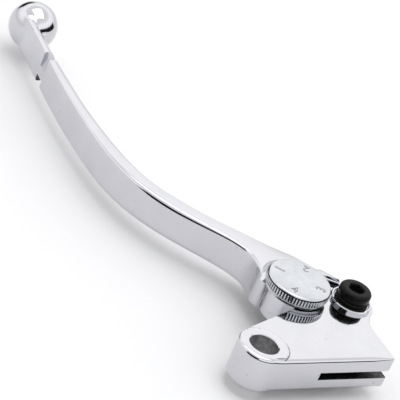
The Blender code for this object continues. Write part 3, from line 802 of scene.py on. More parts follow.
def carrier_slot(piece):
    """Cable slot with rounded lug corners, nipple pocket and a small punch mark."""
    front = LUG_END - CLEAR
    mouth = [(front, SLOT_BOTTOM), (SLOT_START, SLOT_BOTTOM), (SLOT_START, SLOT_TOP)]
    mouth.append((LUG_END + LUG_CORNER, SLOT_TOP))
    mouth += quarter_round(LUG_END, SLOT_TOP, LUG_CORNER, 6)
    mouth.append((front, SLOT_TOP + LUG_CORNER))
    cut(piece, side_plate("slot_tool", mouth, OUTSIDE, SLOT_FLOOR_X))
    heel = [(front, PLATE_BOTTOM - CLEAR), (LUG_END + HEEL_CORNER, PLATE_BOTTOM - CLEAR)]
    heel.append((LUG_END + HEEL_CORNER, PLATE_BOTTOM))
    heel += quarter_round(LUG_END, PLATE_BOTTOM, HEEL_CORNER, 9)
    heel.append((front, PLATE_BOTTOM + HEEL_CORNER))
    cut(piece, side_plate("heel_tool", heel, OUTSIDE, HINGE.x - EYE_R - 3.0))
    drill(piece, NIPPLE, NIPPLE_R, OUTSIDE, NIPPLE_ROOF, 64)
    bpy.ops.object.select_all(action="DESELECT")
    bpy.ops.mesh.primitive_uv_sphere_add(segments=16, ring_count=10, radius=PUNCH_MARK_R * MM)
    mark = bpy.context.object
    for vert in mark.data.vertices:
        vert.co += PUNCH_MARK * MM
    cut(piece, mark)


class LEVER_OT_carrier(bpy.types.Operator):
    """Model the carrier with its boss, ring, fork and cable slot"""

    bl_idname = "clutch_lever.carrier"
    bl_label = "Carrier"

    def execute(self, context):
        sizes = settings().carrier
        piece = carrier_body(sizes)
        carrier_holes(piece, sizes)
        carrier_fork(piece)
        carrier_slot(piece)
        smooth(piece)
        paint(piece, "polished_aluminium", "bored_aluminium", "painted_recess_shade")
        bore = sizes.bore_radius / MM
        boss = sizes.boss_radius / MM

        # Bore walls get the rougher bored finish; the boss's faced rim gets it too, its darker tone partly a real
        # faced finish and partly painted shade for the line at the edge.
        def bored_walls_and_rim_shade(centre, normal):
            away = hypot(centre.x, centre.y)
            rim_line_shade = BOSS_TOP - 0.12 < centre.z < BOSS_TOP - 0.01 and boss - RIM + 0.04 < away < boss + 0.1
            return away < bore + 0.05 and abs(normal.z) < 0.3 or rim_line_shade

        # Painted shade: the groove round the boss, the cable slot and the fork's floor and roof get the dark shade
        # material, for the shade that falls in them.
        def carrier_painted_shade(centre, normal):
            in_line = -0.25 < centre.z < -0.02 and boss < hypot(centre.x, centre.y) < boss + 0.4
            in_slot = SLOT_BOTTOM - 0.1 < centre.z < SLOT_TOP + 0.1 and -8.3 < centre.x < 12.0
            in_fork = LOWER_CHEEK_TOP - 0.05 < centre.z < CHEEK_FLOOR + 0.05 and centre.x > 8.0
            inside = LUG_END + 0.05 < centre.y < -12.0
            return in_line or in_slot and inside or in_fork and abs(normal.z) > 0.9

        paint_faces(piece, 1, bored_walls_and_rim_shade)
        paint_faces(piece, 2, carrier_painted_shade)
        finished(piece, "carrier_body", "polished_aluminium", "carrier")
        return {"FINISHED"}


# ---------------------------------------------------------------- blade

# Root to tip: rider face point, far side point, depth of the far side's round.
BLADE_ROWS = [
    (30.6, -20.6, 29.6, -48.6, 1.2), (31.2, -18.5, 31.2, -47.7, 1.2), (32.6, -17.3, 33.6, -45.8, 1.2),
    (35.2, -17.2, 35.7, -43.8, 1.3), (39.0, -18.1, 36.9, -41.2, 1.4), (44.6, -18.1, 42.6, -36.9, 1.6),
    (50.0, -15.7, 49.2, -29.2, 1.8), (55.0, -11.9, 56.6, -22.2, 2.0), (62.5, -5.2, 67.0, -12.4, 2.2),
    (70.0, 1.0, 75.2, -6.2, 2.6), (79.0, 6.4, 82.8, -1.7, 3.2), (90.0, 10.3, 92.0, 1.5, 3.8),
    (105.0, 12.4, 105.5, 3.5, 4.6), (125.0, 12.4, 124.7, 4.6, 5.0), (145.0, 11.1, 144.4, 4.2, 4.9),
    (165.0, 8.7, 164.4, 3.2, 4.4), (180.0, 7.1, 179.5, 2.0, 3.9), (188.0, 6.3, 187.5, 1.4, 3.7),
]
ROUND_STEPS = 5
FAR_STEPS = 28
FLAT_STEPS = 14
CREASE_LOST_X = 187.0
CREASE_WIDEST_X = 72.0
CREASE_SPREAD = 17.0
TIP_CENTRE_Y = 2.6
STATION = 0.8
CARRIER_ROOM = 0.45
DIAL_ROOM_R = 12.05
DIAL_ROOM_FLOOR = -0.3
NOSE_HALF = 3.2
NOSE_START = 6.9
NOSE_END = 13.5
SPINDLE_ROOM_R = 6.62
PIN_HOLE_R = 2.12
BUSH_HOLE_R = 5.25
SPRING_POCKET_R = 6.5
SPRING_POCKET_DEEP = 3.4
WASHER_SEAT_R = 6.2
WASHER_THICK = 0.8
UNDER_NOTCH_DEEP = 3.0


def section_points(thick, far, crease):
    """(depth, height above the middle) round a D section: face, crease rounds, flats, far side."""
    half = 0.5 * (BLADE_TOP - BLADE_BOTTOM)
    far = min(far, thick - crease - 0.3)
    ring = []
    for i in range(FLAT_STEPS):
        ring.append((0.0, (half - crease) * (2.0 * i / FLAT_STEPS - 1.0)))
    for i in range(ROUND_STEPS + 1):
        at = radians(180.0 - 90.0 * i / ROUND_STEPS)
        ring.append((crease + crease * cos(at), half - crease + crease * sin(at)))
    for i in range(FAR_STEPS):
        at = radians(90.0 - 180.0 * i / FAR_STEPS)
        ring.append((thick - far + far * cos(at), half * sin(at)))
    ring.append((thick - far, -half))
    for i in range(ROUND_STEPS):
        at = radians(270.0 - 90.0 * i / ROUND_STEPS)
        ring.append((crease + crease * cos(at), crease - half + crease * sin(at)))
    return ring


def ray_to_outline(centre, way, outline):
    """How far an outline reaches from centre in a direction; 0 where it doesn't."""
    reach = 0.0
    for i, here in enumerate(outline):
        start = Vector(outline[i - 1]) - centre
        side = Vector(here) - Vector(outline[i - 1])
        across = way.x * side.y - way.y * side.x
        if abs(across) < 1e-9:
            continue
        along = (start.x * side.y - start.y * side.x) / across
        part = (start.x * way.y - start.y * way.x) / across
        if -1e-6 <= part <= 1.000001:
            reach = max(reach, along)
    return reach


def ray_to_ball(centre, way, ball_r, x):
    """How far the ball reaches from centre in a direction, in the section at x."""
    back = centre - Vector((0.0, BALL_Z))
    along = way.dot(back)
    inside = along * along - back.length_squared + ball_r * ball_r - (x - BALL_X) ** 2
    return sqrt(inside) - along if inside > 0.0 else 0.0


def blended(bar, ball, blend):
    """The larger of two reaches, with a fillet where they are nearly equal."""
    gap = max(blend - abs(ball - bar), 0.0) / blend
    return max(ball, bar) + gap * gap * blend * 0.25


def bar_section(x, crease):
    """Outline of the bar at x near its tip, as (y, z) points."""
    last = BLADE_ROWS[-2]
    end = BLADE_ROWS[-1]
    along = (x - last[0]) / (end[0] - last[0])
    face_y = last[1] + (end[1] - last[1]) * along
    back_y = last[3] + (end[3] - last[3]) * along
    middle = 0.5 * (BLADE_TOP + BLADE_BOTTOM)
    return [(face_y - u, middle + z) for u, z in section_points(face_y - back_y, last[4], crease)]


def tip_ways(bar, centre, even):
    """Directions from centre to the bar's points; those of the far side become evenly spread."""
    angles = [atan2(point[1] - centre.y, point[0] - centre.x) for point in bar]
    first = FLAT_STEPS + ROUND_STEPS
    last = first + FAR_STEPS + 1
    sweep = (angles[last] - angles[first]) % (2 * pi)
    for i in range(first + 1, last):
        own = (angles[i] - angles[first]) % (2 * pi)
        spread = sweep * (i - first) / (last - first)
        angles[i] = angles[first] + own + (spread - own) * even
    return [Vector((cos(angle), sin(angle))) for angle in angles]


def tip_rings(start, crease, ball_r):
    """The bar running into the ball, then the ball round to its pole."""
    rings = []
    for x in tip_stations(start, ball_r):
        bar = bar_section(min(x, CREASE_LOST_X), crease)
        middle_y = 0.5 * (bar[0][0] + min(point[0] for point in bar))
        near = min(1.0, max(0.0, (x - BALL_X + ball_r) / (CREASE_LOST_X - BALL_X + ball_r)))
        past = min(1.0, max(0.0, (x - CREASE_LOST_X) / (BALL_X + ball_r - CREASE_LOST_X)))
        centre = Vector((middle_y + (TIP_CENTRE_Y - middle_y) * near, BALL_Z))
        ways = tip_ways(bar, centre, sqrt(near))
        fade = max(0.0, 1.0 - 3.0 * past)
        centre.x *= 1.0 - past
        ring = []
        for way, point in zip(ways, bar):
            reach = ray_to_outline(centre, way, bar) * fade
            ball = ray_to_ball(centre, way, ball_r, x)
            if ball > 0.0 and reach > 0.0:
                reach = blended(reach, ball, 0.6 + 1.8 * max(0.0, way.x))
            reach = max(reach, ball)
            spot = centre + way * (reach if past < 1.0 else 0.0)
            ring.append((x, spot.x, spot.y))
        rings.append(ring)
    return rings


def blade_rings(crease, ball_r):
    """Sections from the root to the pole of the ball."""
    middle = 0.5 * (BLADE_TOP + BLADE_BOTTOM)
    rings = []
    for fx, fy, bx, by, far in smooth_line(BLADE_ROWS[:-1], 7)[:-1]:
        face = Vector((fx, fy))
        way = Vector((bx, by)) - face
        thick = way.length
        way.normalize()
        wider = 1.0 + exp(-((fx - CREASE_WIDEST_X) / CREASE_SPREAD) ** 2)
        ring = section_points(thick, far, crease * wider)
        rings.append([(face.x + way.x * u, face.y + way.y * u, middle + z) for u, z in ring])
    return rings + tip_rings(rings[-1][0][0], crease, ball_r)


def tip_stations(start, ball_r):
    """Places along X: even up to the ball, then by angle round it to its pole."""
    first = BALL_X - ball_r
    steps = max(2, round((first - start) / STATION))
    places = [start + (first - start) * (i + 1) / steps for i in range(steps - 1)]
    angles = [-89.0 + 179.0 * i / 60 for i in range(61)]
    return places + [BALL_X + ball_r * sin(radians(a)) for a in angles]


def blade_sockets(piece, boss_r):
    """Room for the carrier and the dial, swept over the blade's travel."""
    for i in range(3):
        turn = -BLADE_TURN * i / 2
        room = turned_about(grown(carrier_outline(boss_r, 2), CARRIER_ROOM), HINGE, turn)
        cut(piece, plate("room_tool", room, BLADE_BOTTOM - CLEAR, BLADE_TOP + CLEAR))
        seat = turned_about(circle(DIAL, DIAL_ROOM_R, 128), HINGE, turn)
        cut(piece, plate("seat_tool", seat, DIAL_ROOM_FLOOR, BLADE_TOP + CLEAR))


def blade_tongue(piece):
    """Tongue between the cheeks, with a nose for the cam pin and the hinge's bores."""
    join(piece, plate("tongue_tool", tongue_outline(BARREL_R + 0.6), TONGUE_BOTTOM, TONGUE_TOP))
    pin = centre_of("cam_pin")
    out = (pin - DIAL).normalized()
    across = Vector((-out.y, out.x)) * NOSE_HALF
    near = DIAL + out * NOSE_START
    far = DIAL + out * NOSE_END
    nose = [tuple(corner) for corner in (near + across, near - across, far - across, far + across)]
    join(piece, plate("nose_tool", nose, TONGUE_BOTTOM + 0.1, TONGUE_TOP - 0.1))
    under = TONGUE_BOTTOM - PAST
    over = TONGUE_TOP + 2 * PAST
    drill(piece, DIAL, SPINDLE_ROOM_R, under, over)
    drill(piece, pin, PIN_HOLE_R, under, over, 48)
    drill(piece, HINGE, SPRING_POCKET_R, under, TONGUE_BOTTOM + SPRING_POCKET_DEEP)
    drill(piece, HINGE, BUSH_HOLE_R, under, over)
    drill(piece, HINGE, WASHER_SEAT_R, TONGUE_TOP - WASHER_THICK, over)


def blade_notches(piece, width, depth):
    """The breakaway notches, one cut from above and one from below."""
    left = NOTCH_X - 0.5 * width
    right = NOTCH_X + 0.5 * width
    across = [(left, OUTSIDE), (right, OUTSIDE), (right, -OUTSIDE), (left, -OUTSIDE)]
    cut(piece, plate("notch_tool", across, BLADE_TOP - depth, BLADE_TOP + CLEAR))
    cut(piece, plate("notch_tool", across, BLADE_BOTTOM - CLEAR, BLADE_BOTTOM + UNDER_NOTCH_DEEP))


class LEVER_OT_blade(bpy.types.Operator):
    """Model the finger lever with its ball end, notches, sockets and tongue"""

    bl_idname = "clutch_lever.blade"
    bl_label = "Blade"

    def execute(self, context):
        sizes = settings().blade
        piece = skin("blade_finish", blade_rings(sizes.crease_round / MM, sizes.ball_radius / MM))
        blade_notches(piece, sizes.notch_width / MM, sizes.notch_depth / MM)
        blade_sockets(piece, settings().carrier.boss_radius / MM)
        blade_tongue(piece)
        smooth(piece, 35.0)
        paint(piece, "polished_aluminium", "painted_recess_shade")
        notch_half = 0.5 * sizes.notch_width / MM
        notch_roof = BLADE_BOTTOM + UNDER_NOTCH_DEEP

        # Painted shade: the tongue's faces within the bores and the walls and roof of the lower notch get the dark
        # shade material, for the shade in them.
        def blade_painted_shade(centre, normal):
            in_bores = (centre.xy - HINGE).length < TONGUE_EYE_R - 0.3
            in_bores = in_bores or (centre.xy - DIAL).length < BARREL_R + 0.5
            in_tongue = TONGUE_BOTTOM - 0.2 < centre.z < TONGUE_TOP + 0.2 and in_bores
            in_notch = abs(centre.x - NOTCH_X) < notch_half + 0.05 and centre.z < notch_roof + 0.05
            on_roof = normal.z < -0.9 and centre.z > notch_roof - 0.1
            return in_tongue or in_notch and (normal.x < -0.9 or on_roof)

        paint_faces(piece, 1, blade_painted_shade)
        finished(piece, "blade_body", "polished_aluminium", "blade")
        return {"FINISHED"}


# ---------------------------------------------------------------- hinge screw and collar

HEAD_R = 5.75
HEAD_THICK = 3.2
HEAD_ROUND = 1.25
HEX_R = 2.5 / cos(pi / 6)
HEX_DEEP = 2.4
HEX_TURN = 12.0
THREAD_PITCH = 1.0
THREAD_DEEP = 0.45
THREAD_LEAD = 0.4
COLLAR_R = 5.93
COLLAR_RIDGES = 2
RIDGE_HIGH = 0.6
RIDGE_GAP = 0.04
SHANK_R = 4.0
THREAD_R = 3.0


def rounded_corner(radius, edge, top, steps):
    """Profile points round the top outer corner of a disc."""
    points = []
    for i in range(steps + 1):
        at = radians(90.0 - 90.0 * i / steps)
        points.append((radius - edge + edge * cos(at), top - edge + edge * sin(at)))
    return points


class LEVER_OT_hinge_screw(bpy.types.Operator):
    """Model the black socket screw that is the blade's hinge"""

    bl_idname = "clutch_lever.hinge_screw"
    bl_label = "Hinge screw"

    def execute(self, context):
        under = HEAD_TOP - HEAD_THICK
        profile = [(0.0, HEAD_TOP)] + rounded_corner(HEAD_R, HEAD_ROUND, HEAD_TOP, 8)
        profile += [(HEAD_R, under + 0.5), (HEAD_R - 0.15, under + 0.15), (HEAD_R - 0.5, under)]
        profile += [(SHANK_R, under), (SHANK_R, LOWER_CHEEK_TOP), (THREAD_R, LOWER_CHEEK_TOP)]
        z = PLATE_BOTTOM + 0.5
        while z - THREAD_PITCH > SCREW_END + THREAD_LEAD:
            profile += [(THREAD_R, z - 0.1), (THREAD_R - THREAD_DEEP, z - 0.5), (THREAD_R, z - 0.9)]
            z -= THREAD_PITCH
        profile += [(THREAD_R, SCREW_END + THREAD_LEAD), (THREAD_R - 0.5, SCREW_END), (0.0, SCREW_END)]
        piece = turned("hinge_screw_finish", HINGE, profile, 96)
        hexagon = arc(HINGE, HEX_R, HEX_TURN, HEX_TURN + 300.0, 5)
        cut(piece, plate("hex_tool", hexagon, HEAD_TOP - HEX_DEEP, HEAD_TOP + CLEAR))
        low = HEAD_TOP - 0.45
        high = HEAD_TOP + 0.15
        lead = [(0.0, low), (HEX_R - 0.35, low), (HEX_R + 0.25, high), (0.0, high)]
        cut(piece, turned("lead_tool", HINGE, lead, 64))
        smooth(piece, 30.0)
        paint(piece, "blackened_steel")
        finished(piece, "carrier_body", "blackened_steel", "hinge_screw")
        return {"FINISHED"}


class LEVER_OT_screw_collar(bpy.types.Operator):
    """Model the ridged black collar under the screw's head"""

    bl_idname = "clutch_lever.screw_collar"
    bl_label = "Screw collar"

    def execute(self, context):
        inner = SHANK_R + 0.2
        pitch = (COLLAR_TOP - COLLAR_BOTTOM) / COLLAR_RIDGES
        profile = [(inner, COLLAR_TOP), (inner, COLLAR_BOTTOM)]
        for i in range(COLLAR_RIDGES):
            base = COLLAR_BOTTOM + pitch * i + RIDGE_GAP
            for k in range(9):
                bulge = sin(pi * k / 8)
                height = base + (pitch - 2 * RIDGE_GAP) * k / 8
                profile.append((COLLAR_R - RIDGE_HIGH * (1.0 - bulge), height))
        piece = turned("screw_collar_finish", HINGE, profile, 96)
        smooth(piece, 40.0)
        paint(piece, "blackened_steel")
        finished(piece, "carrier_body", "blackened_steel", "screw_collar")
        return {"FINISHED"}


# ---------------------------------------------------------------- dial

POSITIONS = 4
BAND_BOTTOM = 2.05
BAND_TOP = DIAL_TOP - 0.98
SPIGOT_R = 4.52
SPIGOT_DEEP = 1.9
UNDERCUT_OUTER_R = 10.4
UNDERCUT_INNER_R = 7.4
UNDERCUT_DEEP = 0.8
GROOVE_WIDTH = 0.62
FONT_PER_HEIGHT = 1.35
ENGRAVING_R = 0.13
FIRST_NUMERAL = 45.0
DIMPLE_R = 1.0
DIMPLE_DEEP = 1.2


def dial_disc(radius):
    """Turned body: bright chamfer, thin neck, band for the knurl, cone and lower lip."""
    low = DIAL_BOTTOM
    top = DIAL_TOP
    roof = low + UNDERCUT_DEEP
    profile = [(0.0, top), (radius - 0.75, top), (radius - 0.55, top - 0.05), (radius - 0.18, top - 0.38)]
    profile += [(radius - 0.12, top - 0.5), (radius - 0.2, top - 0.62), (radius - 0.42, top - 0.7)]
    profile += [(radius - 0.42, top - 0.86), (radius, BAND_TOP), (radius, BAND_BOTTOM)]
    profile += [(radius - 0.25, 1.85), (radius - 0.55, 1.55), (radius - 0.68, 1.1)]
    profile += [(radius - 0.55, 0.75), (radius - 0.5, 0.6)]
    profile += [(radius - 0.7, low), (UNDERCUT_OUTER_R, low), (UNDERCUT_OUTER_R, roof)]
    profile += [(UNDERCUT_INNER_R, roof), (UNDERCUT_INNER_R, low), (SPIGOT_R, low)]
    profile += [(SPIGOT_R, top - SPIGOT_DEEP), (0.0, top - SPIGOT_DEEP)]
    return profile


def knurl(piece, radius, teeth, depth):
    """Press V grooves into the upright band by moving its points in, tooth by tooth."""
    high = (BAND_TOP - 0.01) * MM
    low = (BAND_BOTTOM - 0.01) * MM
    for vert in piece.data.vertices:
        if not low < vert.co.z < high:
            continue
        away = Vector((vert.co.x - DIAL.x * MM, vert.co.y - DIAL.y * MM))
        if away.length < (radius - 0.2) * MM:
            continue
        turn = atan2(away.y, away.x) / (2 * pi) * teeth
        phase = abs((turn % 1.0) - 0.5) * 2.0
        groove = max(0.0, 1.0 - phase / GROOVE_WIDTH)
        vert.co.x -= away.x / away.length * groove * depth * MM
        vert.co.y -= away.y / away.length * groove * depth * MM


def numeral_tool(text, height, circle_r, angle):
    """A thin tube along a number's outline, lying on the dial's top, its head to the axis."""
    bpy.ops.object.select_all(action="DESELECT")
    bpy.ops.object.text_add()
    letter = bpy.context.object
    letter.data.body = text
    letter.data.size = height * FONT_PER_HEIGHT * MM
    letter.data.align_x = "CENTER"
    letter.data.align_y = "CENTER"
    letter.data.resolution_u = 3
    bpy.ops.object.convert(target="CURVE")
    letter = bpy.context.object
    letter.data.fill_mode = "NONE"
    letter.data.bevel_depth = ENGRAVING_R * MM
    letter.data.bevel_resolution = 1
    spot = (DIAL + circle_r * Vector((cos(radians(angle)), sin(radians(angle))))) * MM
    turn = Matrix.Rotation(radians(angle + 90.0), 4, "Z")
    bpy.ops.object.convert(target="MESH")
    letter = bpy.context.object
    letter.data.transform(Matrix.Translation((spot.x, spot.y, DIAL_TOP * MM)) @ turn)
    select_only(letter)
    bpy.ops.object.mode_set(mode="EDIT")
    bpy.ops.mesh.select_all(action="SELECT")
    bpy.ops.mesh.remove_doubles(threshold=2 * MERGE)
    bpy.ops.mesh.normals_make_consistent(inside=False)
    bpy.ops.object.mode_set(mode="OBJECT")
    return letter


class LEVER_OT_dial(bpy.types.Operator):
    """Model the knurled dial and engrave its numbers"""

    bl_idname = "clutch_lever.dial"
    bl_label = "Dial"

    def execute(self, context):
        sizes = settings().dial
        radius = sizes.radius / MM
        teeth = sizes.teeth
        piece = turned("dial_finish", DIAL, dial_disc(radius), teeth * 6)
        band_rows(piece)
        knurl(piece, radius, teeth, sizes.groove_depth / MM)
        click = centre_of("detent_ball")
        for i in range(POSITIONS):
            spot = turned_about([click], DIAL, -90.0 * i)[0]
            drill(piece, spot, DIMPLE_R, DIAL_BOTTOM - PAST, DIAL_BOTTOM + DIMPLE_DEEP, 24)
        height = sizes.numeral_height / MM
        for i in range(POSITIONS):
            angle = FIRST_NUMERAL - 90.0 * i
            cut(piece, numeral_tool(str(i + 1), height, sizes.numeral_circle / MM, angle))
        smooth(piece, 30.0)
        paint(piece, "satin_chrome", "engraved_chrome", "painted_recess_shade")

        def engraved(centre, _):
            away = (centre.xy - DIAL).length
            return DIAL_TOP - 0.3 < centre.z < DIAL_TOP - 0.004 and away < radius - 0.9

        # Painted shade: the grooves of the knurl and the thin neck under the chamfer get the dark shade material,
        # for the shade and dark reflections in them.
        def knurl_painted_shade(centre, _):
            away = (centre.xy - DIAL).length
            return 1.9 < centre.z < DIAL_TOP - 0.75 and radius - 0.7 < away < radius - 0.13

        paint_faces(piece, 1, engraved)
        paint_faces(piece, 2, knurl_painted_shade)
        finished(piece, "dial_body", "satin_chrome", "dial")
        return {"FINISHED"}


def band_rows(piece):
    """Cut the band into rows, so that the grooves run out at its ends."""
    select_only(piece)
    bpy.ops.object.mode_set(mode="EDIT")
    for z in (BAND_BOTTOM + 0.07, BAND_BOTTOM + 0.25, BAND_TOP - 0.27, BAND_TOP - 0.08):
        bpy.ops.mesh.select_all(action="SELECT")
        bpy.ops.mesh.bisect(plane_co=(0.0, 0.0, z * MM), plane_no=(0.0, 0.0, 1.0))
    bpy.ops.object.mode_set(mode="OBJECT")


# ---------------------------------------------------------------- small hardware

# CAD node, finish and width of the rounded edges, in millimetres.
SMALL_PIECES = [
    ("hinge_bush", "bronze", 0.1),
    ("thrust_washer", "steel", 0.08),
    ("hinge_spring", "steel", 0.0),
    ("cam_spindle", "steel", 0.12),
    ("spindle_o_ring", "nitrile_rubber", 0.0),
    ("spindle_washer", "zinc_plate", 0.08),
    ("spindle_circlip", "steel", 0.08),
    ("detent_ball", "steel", 0.0),
    ("detent_spring", "steel", 0.0),
    ("cam_pin", "steel", 0.0),
]


def body_of(node):
    bodies = frame["record"]["behaviour"]["bodies"]
    return next(name for name, members in bodies.items() if node in members)


def slot_of(node):
    subparts = frame["record"]["subparts"]
    return next(part["material_slot"] for part in subparts if part["node"] == node)


class LEVER_OT_small_hardware(bpy.types.Operator):
    """Finish the washers, springs, bush, spindle, clip, pin and ball"""

    bl_idname = "clutch_lever.small_hardware"
    bl_label = "Small hardware"

    def execute(self, context):
        for node, finish, edge in SMALL_PIECES:
            piece = refined_copy(node, edge)
            paint(piece, finish)
            finished(piece, body_of(node), slot_of(node), node)
        return {"FINISHED"}


NUT_FLAT_R = 5.0
NUT_CHAMFER = 0.4


class LEVER_OT_hinge_nut(bpy.types.Operator):
    """Model the plated nut under the carrier, with its corners chamfered"""

    bl_idname = "clutch_lever.hinge_nut"
    bl_label = "Hinge nut"

    def execute(self, context):
        corner = NUT_FLAT_R / cos(pi / 6)
        face = NUT_FLAT_R + 0.1
        piece = plate("hinge_nut_finish", circle(HINGE, corner, 6), NUT_BOTTOM, NUT_TOP)
        blank = [(0.0, NUT_TOP), (face, NUT_TOP)]
        blank += [(corner, NUT_TOP - NUT_CHAMFER), (corner + 0.1, NUT_TOP - NUT_CHAMFER - 0.05)]
        blank += [(corner + 0.1, NUT_BOTTOM + NUT_CHAMFER + 0.05), (corner, NUT_BOTTOM + NUT_CHAMFER)]
        blank += [(face, NUT_BOTTOM), (0.0, NUT_BOTTOM)]
        apply_boolean(piece, turned("blank_tool", HINGE, blank, 96), "INTERSECT")
        countersink(piece, HINGE, THREAD_HOLE_R, NUT_BOTTOM - PAST, NUT_TOP, 0.35, 64)
        smooth(piece, 30.0)
        paint(piece, "zinc_plate")
        finished(piece, "carrier_body", "zinc_plate", "hinge_nut")
        return {"FINISHED"}


# ---------------------------------------------------------------- stage

CAMERA_TARGET = Vector((0.0768, -0.0151, 0.0))
CAMERA_DISTANCE = 0.8
CAMERA_ELEVATION = 29.874
CAMERA_PLAN_ANGLE = 140.3
CAMERA_ROLL = 23.63
CAMERA_LENS = 208.1
FLOOR_SIZE = 6.0
FLOOR_GAP = 0.0002
SOFTBOX_SIZE = (1.2, 0.9)
SOFTBOX_PLACE = (0.25, -0.15, 1.3)

# Dark parts of the room: plan direction, cosine they spread to and height they reach.
DARK_WALLS = ((179.0, 0.06, 0.32), (115.0, 0.89, 0.68), (-5.0, 0.96, 0.37))
WALL_TONE = (0.012, 0.012, 0.014)
BACKDROP_TONE = (0.72, 0.72, 0.73)
CEILING = [(-1.0, 0.9), (0.0, 0.74), (0.15, 0.8), (0.35, 1.08), (0.6, 1.16), (0.76, 0.85), (1.0, 0.78)]


def place_camera():
    """A long lens aimed at the lever's middle, rolled about its own axis."""
    e = radians(CAMERA_ELEVATION)
    a = radians(CAMERA_PLAN_ANGLE)
    back = Vector((cos(a) * cos(e), sin(a) * cos(e), sin(e)))
    right = Vector((0.0, 0.0, 1.0)).cross(back).normalized()
    up = back.cross(right)
    turn = Matrix((right, up, back)).transposed()
    data = bpy.data.cameras.new("product_camera")
    data.lens = CAMERA_LENS
    data.sensor_width = 36.0
    data.clip_start = 0.01
    camera = bpy.data.objects.new("product_camera", data)
    bpy.context.scene.collection.objects.link(camera)
    turn = turn.to_4x4() @ Matrix.Rotation(radians(CAMERA_ROLL), 4, "Z")
    camera.matrix_world = Matrix.Translation(CAMERA_TARGET + back * CAMERA_DISTANCE) @ turn
    bpy.context.scene.camera = camera


def place_floor(tone):
    bpy.ops.object.select_all(action="DESELECT")
    bpy.ops.mesh.primitive_plane_add(size=FLOOR_SIZE)
    floor = bpy.context.object
    floor.name = "floor"
    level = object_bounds()[0][2] - FLOOR_GAP
    for vert in floor.data.vertices:
        vert.co.z = level
    mix = Recipe("pale_floor", tone, 0.0, 0.7)
    mix.shader.inputs["Specular IOR Level"].default_value = 0.1
    tint = mix.span(mix.noise(6.0, 2.0), 0.3, 0.7)
    mix.colour(mix.mixed(tint, shade(tone, 0.99), shade(tone, 1.0)))
    floor.data.materials.append(mix.material)
    floor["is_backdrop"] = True


class Sky(Wiring):
    """Builds the studio's surroundings from the direction of each ray."""

    def __init__(self):
        world = bpy.data.worlds.new("studio")
        bpy.context.scene.world = world
        world.use_nodes = True
        super().__init__(world.node_tree)
        self.back = self.nodes["Background"]
        place = self.nodes.new("ShaderNodeTexCoord")
        self.ray = place.outputs["Generated"]
        parts = self.nodes.new("ShaderNodeSeparateXYZ")
        self.links.new(self.ray, parts.inputs["Vector"])
        self.height = parts.outputs["Z"]

    def ramp(self, value, low, high, stops):
        """Grey tones over a value from low to high; each stop is (place, tone)."""
        ramp = self.nodes.new("ShaderNodeValToRGB")
        while len(ramp.color_ramp.elements) < len(stops):
            ramp.color_ramp.elements.new(0.5)
        for element, (at, tone) in zip(ramp.color_ramp.elements, stops):
            element.position = (at - low) / (high - low)
            element.color = (tone, tone, tone, 1.0)
        self.links.new(self.span(value, low, high), ramp.inputs["Fac"])
        return ramp.outputs["Color"]

    def facing(self, angle, stops):
        """Tones by the cosine between a ray, seen in plan, and a plan direction."""
        flat = self.nodes.new("ShaderNodeVectorMath")
        flat.operation = "MULTIPLY"
        flat.inputs[1].default_value = (1.0, 1.0, 0.0)
        self.links.new(self.ray, flat.inputs[0])
        plan = self.nodes.new("ShaderNodeVectorMath")
        plan.operation = "NORMALIZE"
        self.links.new(flat.outputs["Vector"], plan.inputs[0])
        dot = self.nodes.new("ShaderNodeVectorMath")
        dot.operation = "DOT_PRODUCT"
        dot.inputs[1].default_value = (cos(radians(angle)), sin(radians(angle)), 0.0)
        self.links.new(plan.outputs["Vector"], dot.inputs[0])
        return self.ramp(dot.outputs["Value"], -1.0, 1.0, stops)


def place_sky(strength):
    """Bright ceiling over a room with a few dark walls; pale to the camera itself."""
    sky = Sky()
    seen = sky.ramp(sky.height, -1.0, 1.0, CEILING)
    for angle, spread, top in DARK_WALLS:
        heights = [(-0.02, 0.0), (0.0, 1.0), (top - 0.05, 1.0), (top + 0.05, 0.0)]
        low = sky.ramp(sky.height, -1.0, 1.0, heights)
        side = sky.facing(angle, [(spread - 0.02, 0.0), (spread + 0.02, 1.0)])
        seen = sky.mixed(sky.product(low, side), seen, WALL_TONE)
    path = sky.nodes.new("ShaderNodeLightPath")
    seen = sky.mixed(path.outputs["Is Camera Ray"], seen, BACKDROP_TONE)
    sky.links.new(seen, sky.back.inputs["Color"])
    sky.back.inputs["Strength"].default_value = strength


def place_key(power):
    """One wide soft light over the lever."""
    data = bpy.data.lights.new("overhead_softbox", "AREA")
    data.shape = "RECTANGLE"
    data.size, data.size_y = SOFTBOX_SIZE
    data.energy = power
    lamp = bpy.data.objects.new("overhead_softbox", data)
    bpy.context.scene.collection.objects.link(lamp)
    lamp.location = SOFTBOX_PLACE


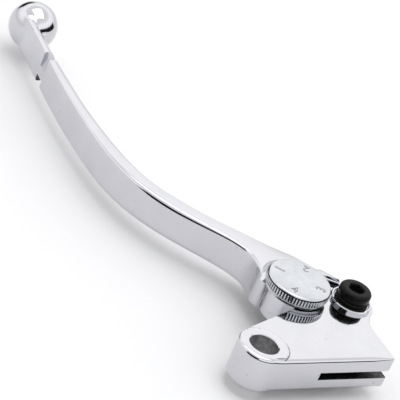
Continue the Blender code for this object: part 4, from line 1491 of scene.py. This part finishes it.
class LEVER_OT_stage(bpy.types.Operator):
    """Set up the pale floor, the soft light and the camera"""

    bl_idname = "clutch_lever.stage"
    bl_label = "Stage"

    def execute(self, context):
        sizes = settings().stage
        bpy.context.scene.view_settings.view_transform = "Standard"
        place_camera()
        place_floor(tuple(sizes.floor_tone))
        place_sky(sizes.sky_strength)
        place_key(sizes.key_power)
        return {"FINISHED"}


# ---------------------------------------------------------------- panel and registration

class LEVER_PT_panel(bpy.types.Panel):
    """Clutch lever pieces"""

    bl_idname = "LEVER_PT_panel"
    bl_label = "Clutch lever"
    bl_space_type = "VIEW_3D"
    bl_region_type = "UI"
    bl_category = "Clutch lever"

    def draw(self, context):
        lever = settings()
        for group in (lever.carrier, lever.blade, lever.dial, lever.finish, lever.stage):
            box = self.layout.box()
            for name in group.bl_rna.properties.keys():
                if name not in ("rna_type", "name"):
                    box.prop(group, name)
        for operator in OPERATORS:
            self.layout.operator(operator.bl_idname)


OPERATORS = [
    LEVER_OT_carrier, LEVER_OT_blade, LEVER_OT_hinge_screw, LEVER_OT_screw_collar, LEVER_OT_dial,
    LEVER_OT_hinge_nut, LEVER_OT_small_hardware, LEVER_OT_stage,
]
GROUPS = [CarrierSizes, BladeSizes, DialSizes, FinishSettings, StageSettings, LeverSettings]


def register():
    for cls in GROUPS + OPERATORS + [LEVER_PT_panel]:
        bpy.utils.register_class(cls)
    bpy.types.Scene.clutch_lever = bpy.props.PointerProperty(type=LeverSettings)


def unregister():
    del bpy.types.Scene.clutch_lever
    for cls in reversed(GROUPS + OPERATORS + [LEVER_PT_panel]):
        bpy.utils.unregister_class(cls)


def main():
    register()
    bpy.ops.clutch_lever.carrier()
    bpy.ops.clutch_lever.blade()
    bpy.ops.clutch_lever.hinge_screw()
    bpy.ops.clutch_lever.screw_collar()
    bpy.ops.clutch_lever.dial()
    bpy.ops.clutch_lever.hinge_nut()
    bpy.ops.clutch_lever.small_hardware()
    bpy.ops.clutch_lever.stage()


if __name__ == "__main__":
    main()
